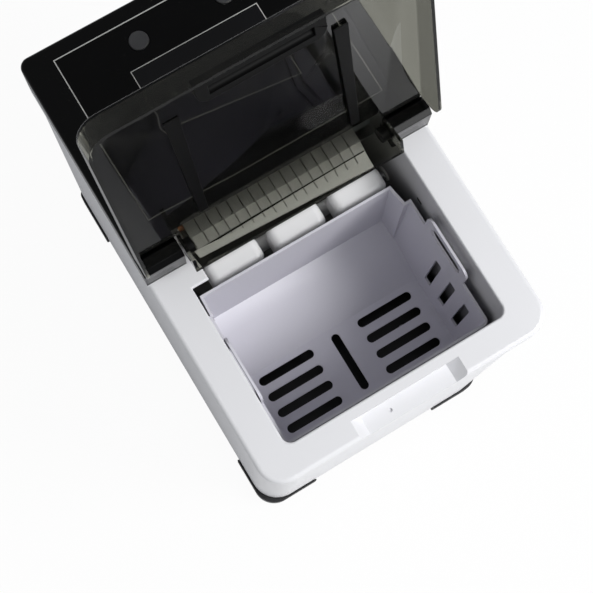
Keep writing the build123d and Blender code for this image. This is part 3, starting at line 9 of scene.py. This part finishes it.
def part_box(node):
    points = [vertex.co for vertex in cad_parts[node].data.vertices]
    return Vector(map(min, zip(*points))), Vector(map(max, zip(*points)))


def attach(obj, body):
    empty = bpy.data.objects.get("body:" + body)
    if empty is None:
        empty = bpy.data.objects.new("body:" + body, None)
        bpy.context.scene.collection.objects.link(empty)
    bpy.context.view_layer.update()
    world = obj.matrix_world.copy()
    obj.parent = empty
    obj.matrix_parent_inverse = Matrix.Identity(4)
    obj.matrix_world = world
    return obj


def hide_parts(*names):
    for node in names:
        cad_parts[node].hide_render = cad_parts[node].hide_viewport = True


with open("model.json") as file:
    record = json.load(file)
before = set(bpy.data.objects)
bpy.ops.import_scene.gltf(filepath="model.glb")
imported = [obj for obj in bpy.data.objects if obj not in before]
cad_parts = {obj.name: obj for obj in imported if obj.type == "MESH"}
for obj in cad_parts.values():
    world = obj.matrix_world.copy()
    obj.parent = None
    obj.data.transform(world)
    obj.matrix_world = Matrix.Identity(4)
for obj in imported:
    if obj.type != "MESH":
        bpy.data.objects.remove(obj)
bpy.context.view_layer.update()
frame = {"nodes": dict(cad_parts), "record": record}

NODES = frame["nodes"]
RECORD = frame["record"]
SLOT_OF = {part["node"]: part["material_slot"] for part in RECORD["subparts"]}
BODY_OF = {node: body for body, members in RECORD["behaviour"]["bodies"].items() for node in members}

# Camera of the photograph, in the part's frame
FOCAL_PX = 1296.2465
IMAGE_PX = 593
SENSOR_MM = 36
NEAR_CLIP = 0.01
FAR_CLIP = 20
CAMERA_PLACE = (-0.154214, -0.213118, 1.258253)
CAMERA_RIGHT = (0.85523786, -0.51724757, 0.03198667)
CAMERA_DOWN = (-0.50179382, -0.84194918, -0.19830416)
CAMERA_AHEAD = (0.12950349, 0.15354651, -0.97961845)

# Grain of moulded surfaces
GRAIN_DETAIL = 2
CLOUD_SCALE = 14
CLOUD_DETAIL = 4
RELIEF_DEPTH = 0.0004

# Sockets of the colour mix node
MIX_SHARE, MIX_FIRST, MIX_SECOND = 0, 6, 7
MIX_RESULT = 2

# Slots: colour, roughness, grain scale, relief, roughness spread, tone spread, specular, metallic
MOULDED = {
    "white_body": ((0.78, 0.78, 0.80), 0.32, 1400, 0.03),
    "basket_grey": ((0.65, 0.64, 0.70), 0.40, 1200, 0.04),
    "shovel_white": ((0.88, 0.88, 0.89), 0.30, 1200, 0.03),
    "black_gloss": ((0.0015, 0.0015, 0.0016), 0.16, 700, 0.01, 0.04, 0.2, 0.15),
    "panel_black": ((0.0015, 0.0015, 0.0016), 0.14, 700, 0.01, 0.04, 0.2, 0.12),
    "grip_black": ((0.002, 0.002, 0.002), 0.45, 900, 0.05, 0.08, 0.1, 0.1),
    "foot_black": ((0.008, 0.008, 0.009), 0.45, 900, 0.10),
    "pad_rubber": ((0.012, 0.012, 0.012), 0.75, 700, 0.25),
    "foam": ((0.62, 0.58, 0.44), 0.85, 300, 0.5, 0.05, 0.2),
    "zinc_sheet": ((0.45, 0.46, 0.48), 0.42, 120, 0.04, 0.25, 0.3, 0.5, 0.9),
    "steel": ((0.56, 0.56, 0.57), 0.28, 500, 0.05, 0.2, 0.1, 0.5, 1.0),
    "copper": ((0.60, 0.27, 0.14), 0.30, 300, 0.06, 0.2, 0.25, 0.5, 1.0),
    "nickel": ((0.62, 0.60, 0.56), 0.18, 300, 0.02, 0.1, 0.1, 0.5, 1.0),
    "fin_aluminium": ((0.62, 0.63, 0.65), 0.36, 400, 0.05, 0.2, 0.1, 0.5, 1.0),
    "compressor_black": ((0.012, 0.012, 0.012), 0.38, 260, 0.15, 0.15, 0.2),
    "board_green": ((0.010, 0.090, 0.030), 0.35, 500, 0.06, 0.1, 0.25),
    "dark_lens": ((0.002, 0.002, 0.003), 0.08, 700, 0.005, 0.02, 0.2, 0.25),
    "light_clear": ((0.60, 0.70, 0.66), 0.2, 700, 0.02),
    "button_grey": ((0.05, 0.05, 0.053), 0.35, 900, 0.05),
    "machine_black": ((0.014, 0.014, 0.015), 0.48, 800, 0.12),
    "machine_white": ((0.62, 0.62, 0.60), 0.45, 900, 0.06),
    "hose_clear": ((0.52, 0.57, 0.60), 0.35, 500, 0.05),
    "vent_white": ((0.74, 0.74, 0.76), 0.42, 1000, 0.05),
    "drain_grey": ((0.17, 0.175, 0.185), 0.6, 700, 0.15),
}

# White tank wall with painted shade: dark below the first level and white above the second
TANK_WALL_COLOUR = (0.62, 0.62, 0.63)
PAINTED_SHADE_LOW = (0.02, 0.02, 0.021)
PAINTED_SHADE_LEVELS = (0.170, 0.300)

# Smoked plastic of the lid, seen straight through and at a slant
SMOKE_STRAIGHT = (0.31, 0.31, 0.27)
SMOKE_SLANTED = (0.06, 0.06, 0.05)
SMOKE_IOR = 1.28

# Width of the rounded edges of CAD nodes, with angles in degrees
EDGE_WIDTH = {
    "hinge_cap_left": 0.0008,
    "hinge_cap_right": 0.0008,
    "control_panel": 0.0003,
    "display_lens": 0.0003,
    "chute_cover": 0.0002,
    "lid_shell": 0.0005,
    "lid_grip": 0.0008,
    "lid_ribs": 0.0005,
    "foot_front_left": 0.0008,
    "foot_front_right": 0.0008,
    "foot_rear_left": 0.0008,
    "foot_rear_right": 0.0008,
    "rear_panel": 0.0004,
    "rear_housing": 0.0006,
    "power_inlet": 0.0005,
}
BASKET_EDGE_WIDTH = 0.0004
BASKET_SOFT_BELOW = 12
ROUND_ABOVE = 38
ROUND_SEGMENTS = 2
FLAT_WITHIN = 0.4

# Directions of the round pieces
ALONG_X, ALONG_Y, ALONG_Z = (1, 0, 0), (0, 1, 0), (0, 0, 1)

# Studio: white floor, soft world and lamps with place, aim, size and power
FLOOR_SIZE = 14
FLOOR_COLOUR = (0.85, 0.85, 0.85, 1)
FLOOR_ROUGHNESS = 0.9
FLOOR_WHITE = 0.95
WORLD_COLOUR = (0.95, 0.97, 1.0, 1)
WORLD_STRENGTH = 0.36
WORLD_WHITE = 1.0
LAMPS = {
    "key": ((1.1, -1.0, 1.9), (0, -0.05, 0.3), 0.8, 32),
    "front": ((0.4, -1.7, 2.0), (0, -0.05, 0.3), 1.0, 8),
    "fill": ((-1.5, -0.6, 1.4), (0, 0, 0.25), 1.4, 2),
    "strip": ((0.645, -1.88, 0.79), (0.105, -0.005, 0.36), 0.4, 3),
}


def set_camera():
    """The camera stands where the photograph was taken from."""
    data = bpy.data.cameras.new("photo_camera")
    data.sensor_width = SENSOR_MM
    data.lens = FOCAL_PX * SENSOR_MM / IMAGE_PX
    data.clip_start = NEAR_CLIP
    data.clip_end = FAR_CLIP
    camera = bpy.data.objects.new("photo_camera", data)
    bpy.context.scene.collection.objects.link(camera)
    right, up, back = Vector(CAMERA_RIGHT), -Vector(CAMERA_DOWN), -Vector(CAMERA_AHEAD)
    turn = Matrix((right, up, back)).transposed().to_4x4()
    camera.matrix_world = Matrix.Translation(CAMERA_PLACE) @ turn
    bpy.context.scene.camera = camera


def add_socket(group, name, way, kind="NodeSocketFloat"):
    """A named input or output on a node group."""
    group.interface.new_socket(name=name, in_out=way, socket_type=kind)


def add_math(nodes, operation):
    """A node that works out one value from others."""
    node = nodes.new("ShaderNodeMath")
    node.operation = operation
    return node


def make_moulded_grain():
    """Fine moulded texture, slow uneven gloss and slow uneven tone, shared by all surfaces."""
    group = bpy.data.node_groups.new("moulded_grain", "ShaderNodeTree")
    add_socket(group, "Grain Scale", "INPUT")
    add_socket(group, "Roughness", "INPUT")
    add_socket(group, "Roughness Spread", "INPUT")
    add_socket(group, "Colour", "INPUT", "NodeSocketColor")
    add_socket(group, "Tone Spread", "INPUT")
    add_socket(group, "Colour", "OUTPUT", "NodeSocketColor")
    add_socket(group, "Roughness", "OUTPUT")
    add_socket(group, "Height", "OUTPUT")
    nodes, links = group.nodes, group.links
    given = nodes.new("NodeGroupInput")
    sent = nodes.new("NodeGroupOutput")
    place = nodes.new("ShaderNodeTexCoord")
    grain = nodes.new("ShaderNodeTexNoise")
    grain.inputs["Detail"].default_value = GRAIN_DETAIL
    links.new(place.outputs["Object"], grain.inputs["Vector"])
    links.new(given.outputs["Grain Scale"], grain.inputs["Scale"])
    cloud = nodes.new("ShaderNodeTexNoise")
    cloud.inputs["Scale"].default_value = CLOUD_SCALE
    cloud.inputs["Detail"].default_value = CLOUD_DETAIL
    links.new(place.outputs["Object"], cloud.inputs["Vector"])
    swing = add_math(nodes, "SUBTRACT")
    swing.inputs[1].default_value = 0.5
    links.new(cloud.outputs["Fac"], swing.inputs[0])
    gloss = add_math(nodes, "MULTIPLY_ADD")
    links.new(swing.outputs[0], gloss.inputs[0])
    links.new(given.outputs["Roughness Spread"], gloss.inputs[1])
    links.new(given.outputs["Roughness"], gloss.inputs[2])
    tone = add_math(nodes, "MULTIPLY_ADD")
    tone.inputs[2].default_value = 1.0
    links.new(swing.outputs[0], tone.inputs[0])
    links.new(given.outputs["Tone Spread"], tone.inputs[1])
    shade = nodes.new("ShaderNodeVectorMath")
    shade.operation = "SCALE"
    links.new(given.outputs["Colour"], shade.inputs[0])
    links.new(tone.outputs[0], shade.inputs["Scale"])
    links.new(shade.outputs[0], sent.inputs["Colour"])
    links.new(gloss.outputs[0], sent.inputs["Roughness"])
    links.new(grain.outputs["Fac"], sent.inputs["Height"])
    return group


MOULDED_GRAIN = make_moulded_grain()


def start_material(name):
    """A new node material with its surface shader."""
    material = bpy.data.materials.new(name)
    material.use_nodes = True
    return material, material.node_tree, material.node_tree.nodes["Principled BSDF"]


def add_grain(tree, shader, colour, roughness, grain, spread, tone):
    """Places the moulded grain in a material and feeds its colour and gloss to the shader."""
    skin = tree.nodes.new("ShaderNodeGroup")
    skin.node_tree = MOULDED_GRAIN
    skin.inputs["Grain Scale"].default_value = grain
    skin.inputs["Roughness"].default_value = roughness
    skin.inputs["Roughness Spread"].default_value = spread
    skin.inputs["Colour"].default_value = (*colour, 1)
    skin.inputs["Tone Spread"].default_value = tone
    tree.links.new(skin.outputs["Colour"], shader.inputs["Base Color"])
    tree.links.new(skin.outputs["Roughness"], shader.inputs["Roughness"])
    return skin


def add_relief(tree, shader, skin, strength):
    """Lets the height of the grain tilt the surface."""
    relief = tree.nodes.new("ShaderNodeBump")
    relief.inputs["Strength"].default_value = strength
    relief.inputs["Distance"].default_value = RELIEF_DEPTH
    tree.links.new(skin.outputs["Height"], relief.inputs["Height"])
    tree.links.new(relief.outputs["Normal"], shader.inputs["Normal"])


def add_colour_mix(tree, shader, share):
    """A mix of two colours by a share, fed to the shader."""
    mix = tree.nodes.new("ShaderNodeMix")
    mix.data_type = "RGBA"
    tree.links.new(share, mix.inputs[MIX_SHARE])
    tree.links.new(mix.outputs[MIX_RESULT], shader.inputs["Base Color"])
    return mix


def moulded(name, colour, roughness, grain, relief, spread=0.08, tone=0.05, specular=0.5, metallic=0.0):
    """Plastic, rubber, foam or metal with the moulded grain."""
    material, tree, shader = start_material(name)
    skin = add_grain(tree, shader, colour, roughness, grain, spread, tone)
    add_relief(tree, shader, skin, relief)
    shader.inputs["Metallic"].default_value = metallic
    shader.inputs["Specular IOR Level"].default_value = specular
    return material


def smoked_plastic():
    """Clear smoked plastic of the lid, darker at a slant and faintly uneven in gloss."""
    material, tree, shader = start_material("smoked_plastic")
    skin = add_grain(tree, shader, SMOKE_STRAIGHT, roughness=0.05, grain=60, spread=0.04, tone=0.1)
    slant = tree.nodes.new("ShaderNodeLayerWeight")
    slant.inputs["Blend"].default_value = 0.5
    mix = add_colour_mix(tree, shader, slant.outputs["Facing"])
    tree.links.new(skin.outputs["Colour"], mix.inputs[MIX_FIRST])
    mix.inputs[MIX_SECOND].default_value = (*SMOKE_SLANTED, 1)
    shader.inputs["Transmission Weight"].default_value = 1.0
    shader.inputs["IOR"].default_value = SMOKE_IOR
    return material


def tank_wall_painted_shade():
    """White tank wall with painted shade that darkens downwards beside and below the basket."""
    material, tree, shader = start_material("tank_white")
    skin = add_grain(tree, shader, TANK_WALL_COLOUR, roughness=0.42, grain=1100, spread=0.08, tone=0.05)
    place = tree.nodes.new("ShaderNodeTexCoord")
    parts = tree.nodes.new("ShaderNodeSeparateXYZ")
    tree.links.new(place.outputs["Object"], parts.inputs[0])
    # Painted shade: height sets how dark the wall is, dark low in the gap and white near the top
    level = tree.nodes.new("ShaderNodeMapRange")
    level.inputs["From Min"].default_value, level.inputs["From Max"].default_value = PAINTED_SHADE_LEVELS
    tree.links.new(parts.outputs["Z"], level.inputs["Value"])
    mix = add_colour_mix(tree, shader, level.outputs[0])
    mix.inputs[MIX_FIRST].default_value = (*PAINTED_SHADE_LOW, 1)
    tree.links.new(skin.outputs["Colour"], mix.inputs[MIX_SECOND])
    add_relief(tree, shader, skin, strength=0.04)
    return material


FINISH = {slot: moulded(slot, *values) for slot, values in MOULDED.items()}
FINISH["tank_white"] = tank_wall_painted_shade()
FINISH["smoked_clear"] = smoked_plastic()


def dress_nodes():
    """Each CAD node takes the finish of its slot in the record."""
    for name, node in NODES.items():
        if not node.material_slots:
            node.data.materials.append(FINISH[SLOT_OF[name]])
        for place in node.material_slots:
            place.material = FINISH[SLOT_OF[name]]


def finish_piece(name, shape, body, slot, *stands_for):
    """Makes a named piece of a bmesh that rides on a body and wears a slot's finish."""
    mesh = bpy.data.meshes.new(name)
    shape.to_mesh(mesh)
    shape.free()
    piece = bpy.data.objects.new(name, mesh)
    bpy.context.scene.collection.objects.link(piece)
    mesh.materials.append(FINISH[slot])
    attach(piece, body)
    if stands_for:
        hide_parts(*stands_for)
    return piece


def smooth(piece, degrees=35):
    """Soft shading that breaks at edges sharper than an angle."""
    piece.data.shade_smooth()
    piece.data.set_sharp_from_angle(angle=math.radians(degrees))


def ease(node, width, soft_below=ROUND_ABOVE):
    """A CAD node's own shape with its flat faces joined and its sharp edges rounded over."""
    shape = bmesh.new()
    shape.from_mesh(NODES[node].data)
    bmesh.ops.remove_doubles(shape, verts=shape.verts, dist=1e-6)
    bmesh.ops.dissolve_limit(
        shape, angle_limit=math.radians(FLAT_WITHIN), verts=shape.verts, edges=shape.edges,
    )
    piece = finish_piece(node + "_eased", shape, BODY_OF[node], SLOT_OF[node], node)
    smooth(piece, soft_below)
    rounding = piece.modifiers.new("rounded_edges", "BEVEL")
    rounding.width = width
    rounding.segments = ROUND_SEGMENTS
    rounding.limit_method = "ANGLE"
    rounding.angle_limit = math.radians(ROUND_ABOVE)
    rounding.use_clamp_overlap = True
    rounding.harden_normals = True


def round_over(shape, edges, offset, segments=ROUND_SEGMENTS):
    """Rounds over the given edges of a bmesh."""
    bmesh.ops.bevel(
        shape, geom=edges, offset=offset, affect="EDGES", segments=segments, profile=0.5, material=-1,
    )


def make_frame(name, low, high, width, height, body, slot):
    """A flat rectangular pale line, standing on the level of its low corner; here it is a painted
    highlight.
    """
    shape = bmesh.new()
    middle = (Vector(low) + Vector(high)) / 2
    plate = bmesh.ops.create_grid(shape, x_segments=1, y_segments=1, size=0.5)
    bmesh.ops.scale(shape, vec=(high[0] - low[0], high[1] - low[1], 1), verts=plate["verts"])
    bmesh.ops.translate(shape, vec=(middle.x, middle.y, low[2]), verts=plate["verts"])
    inner = shape.faces[:]
    rim = bmesh.ops.inset_region(
        shape, faces=inner, thickness=width, use_even_offset=True, use_boundary=True,
    )
    bmesh.ops.delete(shape, geom=inner, context="FACES")
    raised = bmesh.ops.extrude_face_region(shape, geom=rim["faces"])
    top = [item for item in raised["geom"] if isinstance(item, bmesh.types.BMVert)]
    bmesh.ops.translate(shape, vec=(0, 0, height), verts=top)
    bmesh.ops.recalc_face_normals(shape, faces=shape.faces)
    finish_piece(name, shape, body, slot)


def carve(whole, tool):
    """The first bmesh with the second cut out of it."""
    pair = []
    for name, shape in (("whole", whole), ("tool", tool)):
        mesh = bpy.data.meshes.new(name)
        shape.to_mesh(mesh)
        shape.free()
        pair.append(bpy.data.objects.new(name, mesh))
        bpy.context.scene.collection.objects.link(pair[-1])
    cut = pair[0].modifiers.new("cut", "BOOLEAN")
    cut.operation = "DIFFERENCE"
    cut.solver = "EXACT"
    cut.object = pair[1]
    ready = pair[0].evaluated_get(bpy.context.evaluated_depsgraph_get())
    mesh = bpy.data.meshes.new_from_object(ready)
    left = bmesh.new()
    left.from_mesh(mesh)
    bpy.data.meshes.remove(mesh)
    for item in pair:
        mesh = item.data
        bpy.data.objects.remove(item)
        bpy.data.meshes.remove(mesh)
    return left


def join_shape(whole, part):
    """Adds the second bmesh to the first and frees it."""
    mesh = bpy.data.meshes.new("part")
    part.to_mesh(mesh)
    part.free()
    whole.from_mesh(mesh)
    bpy.data.meshes.remove(mesh)


def add_block(shape, size, place, turn=None):
    """Adds a block of a size to a bmesh, turned about its own middle."""
    made = bmesh.ops.create_cube(shape, size=1)["verts"]
    bmesh.ops.scale(shape, vec=size, verts=made)
    if turn is not None:
        bmesh.ops.rotate(shape, cent=(0, 0, 0), matrix=turn, verts=made)
    bmesh.ops.translate(shape, vec=place, verts=made)
    return made


def spin_profile(shape, points, axis, centre, steps):
    """Turns a profile about an axis through a centre into a closed round shape."""
    ring = [shape.verts.new(point) for point in points]
    edges = [shape.edges.new(pair) for pair in zip(ring, ring[1:])]
    bmesh.ops.spin(
        shape, geom=ring + edges, cent=centre, axis=axis, dvec=(0, 0, 0), angle=math.tau, steps=steps,
        use_merge=True, use_duplicate=False,
    )
    bmesh.ops.remove_doubles(shape, verts=shape.verts, dist=1e-7)
    bmesh.ops.recalc_face_normals(shape, faces=shape.faces)


def make_rear_screws():
    """Cross-recessed screws in the back panel."""
    low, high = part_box("rear_panel_screws")
    head, depth, shank = 0.0029, 0.0012, 0.0015
    recess_long, recess_deep, recess_wide = head * 1.15, depth * 1.4, head * 0.26
    face = high.y
    # Radius and depth of each point of the screw's outline
    profile = (
        (0, face), (head * 0.72, face), (head * 0.93, face - depth * 0.2), (head, face - depth * 0.5),
        (head, face - depth), (shank, face - depth), (shank, low.y + shank), (0, low.y),
    )
    whole = bmesh.new()
    for x in (low.x + head, high.x - head):
        for z in (low.z + head, (low.z + high.z) / 2, high.z - head):
            screw = bmesh.new()
            spin_profile(screw, [(x + r, y, z) for r, y in profile], ALONG_Y, (x, face, z), 32)
            for size in (
                (recess_long, recess_deep, recess_wide), (recess_wide, recess_deep, recess_long),
            ):
                tool = bmesh.new()
                add_block(tool, size, (x, face, z))
                screw = carve(screw, tool)
            join_shape(whole, screw)
    smooth(finish_piece("cross_screws", whole, "cabinet", "steel", "rear_panel_screws"), 30)


def make_louvre_blades():
    """Slanted blades behind the slots of the back panel."""
    low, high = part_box("rear_panel")
    edge, middle_gap, rows = 0.018, 0.005, 11
    depth, thickness, slant = 0.0052, 0.0010, 38
    end_play, behind, lift = 0.001, 0.0016, 0.001
    pitch = (high.z - low.z - 2 * edge) / (rows - 1)
    outer = high.x - edge
    turn = Matrix.Rotation(math.radians(slant), 3, "X")
    shape = bmesh.new()
    for number in range(rows):
        z = low.z + edge + number * pitch + lift
        for side in (-1, 1):
            place = (side * (outer + middle_gap) / 2, low.y - behind, z)
            add_block(shape, (outer - middle_gap - end_play, depth, thickness), place, turn)
    round_over(shape, shape.edges[:], 0.0003)
    smooth(finish_piece("louvre_blades", shape, "cabinet", "vent_white"))


def make_inlet_blades():
    """Plated contact blades over the pins of the power inlet."""
    low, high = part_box("power_inlet")
    middle = (low + high) / 2
    blade, spacing, pins_y = (0.0022, 0.0094, 0.0042), 0.005, 0.17065
    shape = bmesh.new()
    for number in (-1, 0, 1):
        add_block(shape, blade, (middle.x + number * spacing, pins_y, middle.z))
    round_over(shape, shape.edges[:], 0.0004)
    smooth(finish_piece("inlet_blades", shape, "cabinet", "nickel"))


def make_drain_cap():
    """Rubber drain plug with a dished face, a rolled rim and a grip bar."""
    low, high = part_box("drain_cap")
    y, z = (low.y + high.y) / 2, (low.z + high.z) / 2
    plug, flange, flange_t, dish = 0.0092, (high.y - low.y) / 2, 0.0016, 0.0029
    face, back = high.x, high.x - flange_t
    bar_size, bar_sunk = (0.0029, 0.0030, 0.0142), 0.00165
    # Place along the axis and radius of each point of the plug's outline
    profile = (
        (low.x, 0), (low.x, plug - 0.0012), (low.x + 0.0012, plug), (back, plug), (back, flange - 0.0004),
        (back + 0.0005, flange), (face - 0.0005, flange), (face, flange - 0.0006), (face, flange - 0.0022),
        (face - 0.0005, flange - 0.003), (face - 0.0026, flange - 0.0042), (face - dish, flange - 0.0055),
        (face - dish, 0),
    )
    shape = bmesh.new()
    spin_profile(shape, [(x, y + r, z) for x, r in profile], ALONG_X, (low.x, y, z), 64)
    bar = add_block(shape, bar_size, (face - bar_sunk, y, z))
    round_over(shape, list({edge for vert in bar for edge in vert.link_edges}), 0.0006, 3)
    smooth(finish_piece("drain_plug", shape, "drain_plug", "drain_grey", "drain_cap"))


def make_foot_pads():
    """Grooved rubber discs under the feet."""
    low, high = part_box("foot_pads")
    radius, rise, groove, chamfer = 0.007, high.z - low.z, 0.0008, 0.0006
    front_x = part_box("foot_front_right")[1].x - 0.0115
    # Radius and height of each point of the pad's outline
    profile = (
        (0, groove), (0.0018, groove), (0.0022, 0), (0.0038, 0), (0.0042, groove), (0.0048, groove),
        (0.0052, 0), (radius - chamfer, 0), (radius, chamfer), (radius, rise), (0, rise),
    )
    shape = bmesh.new()
    for x, y in (
        (front_x, low.y + radius), (-front_x, low.y + radius),
        (high.x - radius, high.y - radius), (low.x + radius, high.y - radius),
    ):
        pad = bmesh.new()
        spin_profile(pad, [(x + r, y, z) for r, z in profile], ALONG_Z, (x, y, 0), 40)
        join_shape(shape, pad)
    smooth(finish_piece("grooved_pads", shape, "cabinet", "pad_rubber", "foot_pads"), 30)


def make_button(node, body):
    """A push button with a dished top and a soft shoulder."""
    low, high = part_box(node)
    x, y, top = (low.x + high.x) / 2, (low.y + high.y) / 2, high.z
    radius, flange, stem, flange_t = 0.0075, (high.x - low.x) / 2, 0.0025, 0.0015
    under = top - 0.0042
    # Radius and height of each point of the button's outline
    profile = (
        (0, low.z), (stem, low.z), (stem, under - flange_t), (flange, under - flange_t), (flange, under),
        (radius, under), (radius, top - 0.0006), (radius - 0.0002, top - 0.0002), (radius - 0.0006, top),
        (radius - 0.0014, top), (radius * 0.6, top - 0.00035), (0, top - 0.0005),
    )
    shape = bmesh.new()
    spin_profile(shape, [(x + r, y, z) for r, z in profile], ALONG_Z, (x, y, low.z), 64)
    smooth(finish_piece(node + "_cap", shape, body, "button_grey", node), 40)


def make_lens_windows():
    """Small round windows in the display lens above the light pipes."""
    low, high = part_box("light_pipes")
    count, pipe_r, proud = 4, 0.0023, 0.00008
    y, z = (low.y + high.y) / 2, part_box("display_lens")[1].z + proud
    first = low.x + pipe_r
    pitch = (high.x - low.x - 2 * pipe_r) / (count - 1)
    shape = bmesh.new()
    for number in range(count):
        made = bmesh.ops.create_cone(
            shape, cap_ends=True, segments=32, radius1=0.0017, radius2=0.0015, depth=0.0003,
        )["verts"]
        bmesh.ops.translate(shape, vec=(first + number * pitch, y, z), verts=made)
    smooth(finish_piece("light_windows", shape, "cabinet", "light_clear"), 30)


def make_panel_painted_highlight():
    """Thin pale lines round the control panel and the display lens, painted highlights along their edges.
    """
    sunk, height = 0.0002, 0.0004
    for node, name, width in (
        ("control_panel", "panel_painted_highlight", 0.0008), ("display_lens", "lens_painted_highlight", 0.0006),
    ):
        low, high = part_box(node)
        # Painted highlight: a pale line where the edges of the black panel and lens catch the light
        make_frame(name, (low.x, low.y, high.z - sunk), high, width, height, "cabinet", "machine_white")


def make_fold_painted_shade():
    """A dark strip lying in the groove along the fold of the slitted cover, painted shade of the groove.
    """
    low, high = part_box("chute_cover")
    end_play, width, thickness, fold_y, sunk = 0.001, 0.0007, 0.0004, 0.005, 0.0006
    shape = bmesh.new()
    # Painted shade: a black strip where the groove's shadow falls
    add_block(shape, (high.x - low.x - end_play, width, thickness), (0, fold_y, high.z - sunk))
    finish_piece("fold_painted_shade", shape, "cabinet", "machine_black")


def make_knuckle_sleeves():
    """Black cups over the lid's two hinge knuckles."""
    hinge = next(joint for joint in RECORD["behaviour"]["joints"] if joint["name"] == "lid_hinge")
    y, z = hinge["pos_m"][1:]
    start, end, skin, knuckle, outer = 0.079, 0.087, 0.0003, 0.00605, 0.0064
    # Place along the axis and radius of each point of the cup's outline
    profile = (
        (start - skin, 0), (start - skin, outer - skin), (start, outer), (end - skin, outer),
        (end, outer - skin / 2), (end, knuckle), (start - skin / 3, knuckle), (start - skin / 3, 0),
    )
    for side, name in ((-1, "left_knuckle_sleeve"), (1, "right_knuckle_sleeve")):
        shape = bmesh.new()
        spin_profile(shape, [(side * x, y + r, z) for x, r in profile], ALONG_X, (0, y, z), 40)
        smooth(finish_piece(name, shape, "lid", "grip_black"), 40)


def make_pieces():
    """Every piece that stands for a CAD node or is added to one."""
    for node, width in EDGE_WIDTH.items():
        ease(node, width)
    ease("ice_basket", BASKET_EDGE_WIDTH, BASKET_SOFT_BELOW)
    make_rear_screws()
    make_louvre_blades()
    make_inlet_blades()
    make_drain_cap()
    make_foot_pads()
    make_button("power_button", "power_key")
    make_button("select_button", "select_key")
    make_lens_windows()
    make_panel_painted_highlight()
    make_fold_painted_shade()
    make_knuckle_sleeves()


def white_rays(tree, share):
    """How much white the eye meets, straight on or through the lid."""
    nodes, links = tree.nodes, tree.links
    path = nodes.new("ShaderNodeLightPath")
    seen = add_math(nodes, "MAXIMUM")
    links.new(path.outputs["Is Camera Ray"], seen.inputs[0])
    links.new(path.outputs["Is Transmission Ray"], seen.inputs[1])
    part = add_math(nodes, "MULTIPLY")
    part.inputs[1].default_value = share
    links.new(seen.outputs[0], part.inputs[0])
    return part.outputs[0]


def mix_white(tree, lit, white, share, output):
    """Shows the eye plain white by a share in place of a lit surface or world."""
    mix = tree.nodes.new("ShaderNodeMixShader")
    tree.links.new(white_rays(tree, share), mix.inputs["Fac"])
    tree.links.new(lit.outputs[0], mix.inputs[1])
    tree.links.new(white.outputs[0], mix.inputs[2])
    tree.links.new(mix.outputs[0], tree.nodes[output].inputs["Surface"])


def make_floor():
    """White floor that keeps a soft shadow."""
    bpy.ops.mesh.primitive_plane_add(size=FLOOR_SIZE)
    floor = bpy.context.object
    floor.name = "floor"
    material, tree, shader = start_material("white_floor")
    shader.inputs["Base Color"].default_value = FLOOR_COLOUR
    shader.inputs["Roughness"].default_value = FLOOR_ROUGHNESS
    mix_white(tree, shader, tree.nodes.new("ShaderNodeEmission"), FLOOR_WHITE, "Material Output")
    floor.data.materials.append(material)


def make_world():
    """White world that gives a soft light."""
    world = bpy.data.worlds.new("studio")
    bpy.context.scene.world = world
    world.use_nodes = True
    tree = world.node_tree
    soft = tree.nodes["Background"]
    soft.inputs["Color"].default_value = WORLD_COLOUR
    soft.inputs["Strength"].default_value = WORLD_STRENGTH
    white = tree.nodes.new("ShaderNodeBackground")
    white.inputs["Color"].default_value = (1, 1, 1, 1)
    mix_white(tree, soft, white, WORLD_WHITE, "World Output")


def make_lamps():
    """Soft studio lamps."""
    for name, (place, aim, size, power) in LAMPS.items():
        lamp = bpy.data.lights.new(name, "AREA")
        lamp.size = size
        lamp.energy = power
        holder = bpy.data.objects.new(name, lamp)
        bpy.context.scene.collection.objects.link(holder)
        holder.location = place
        holder.rotation_euler = (Vector(aim) - Vector(place)).to_track_quat("-Z", "Y").to_euler()


set_camera()
dress_nodes()
make_pieces()
bpy.context.scene.view_settings.view_transform = "Standard"
make_floor()
make_world()
make_lamps()
bpy.context.view_layer.update()
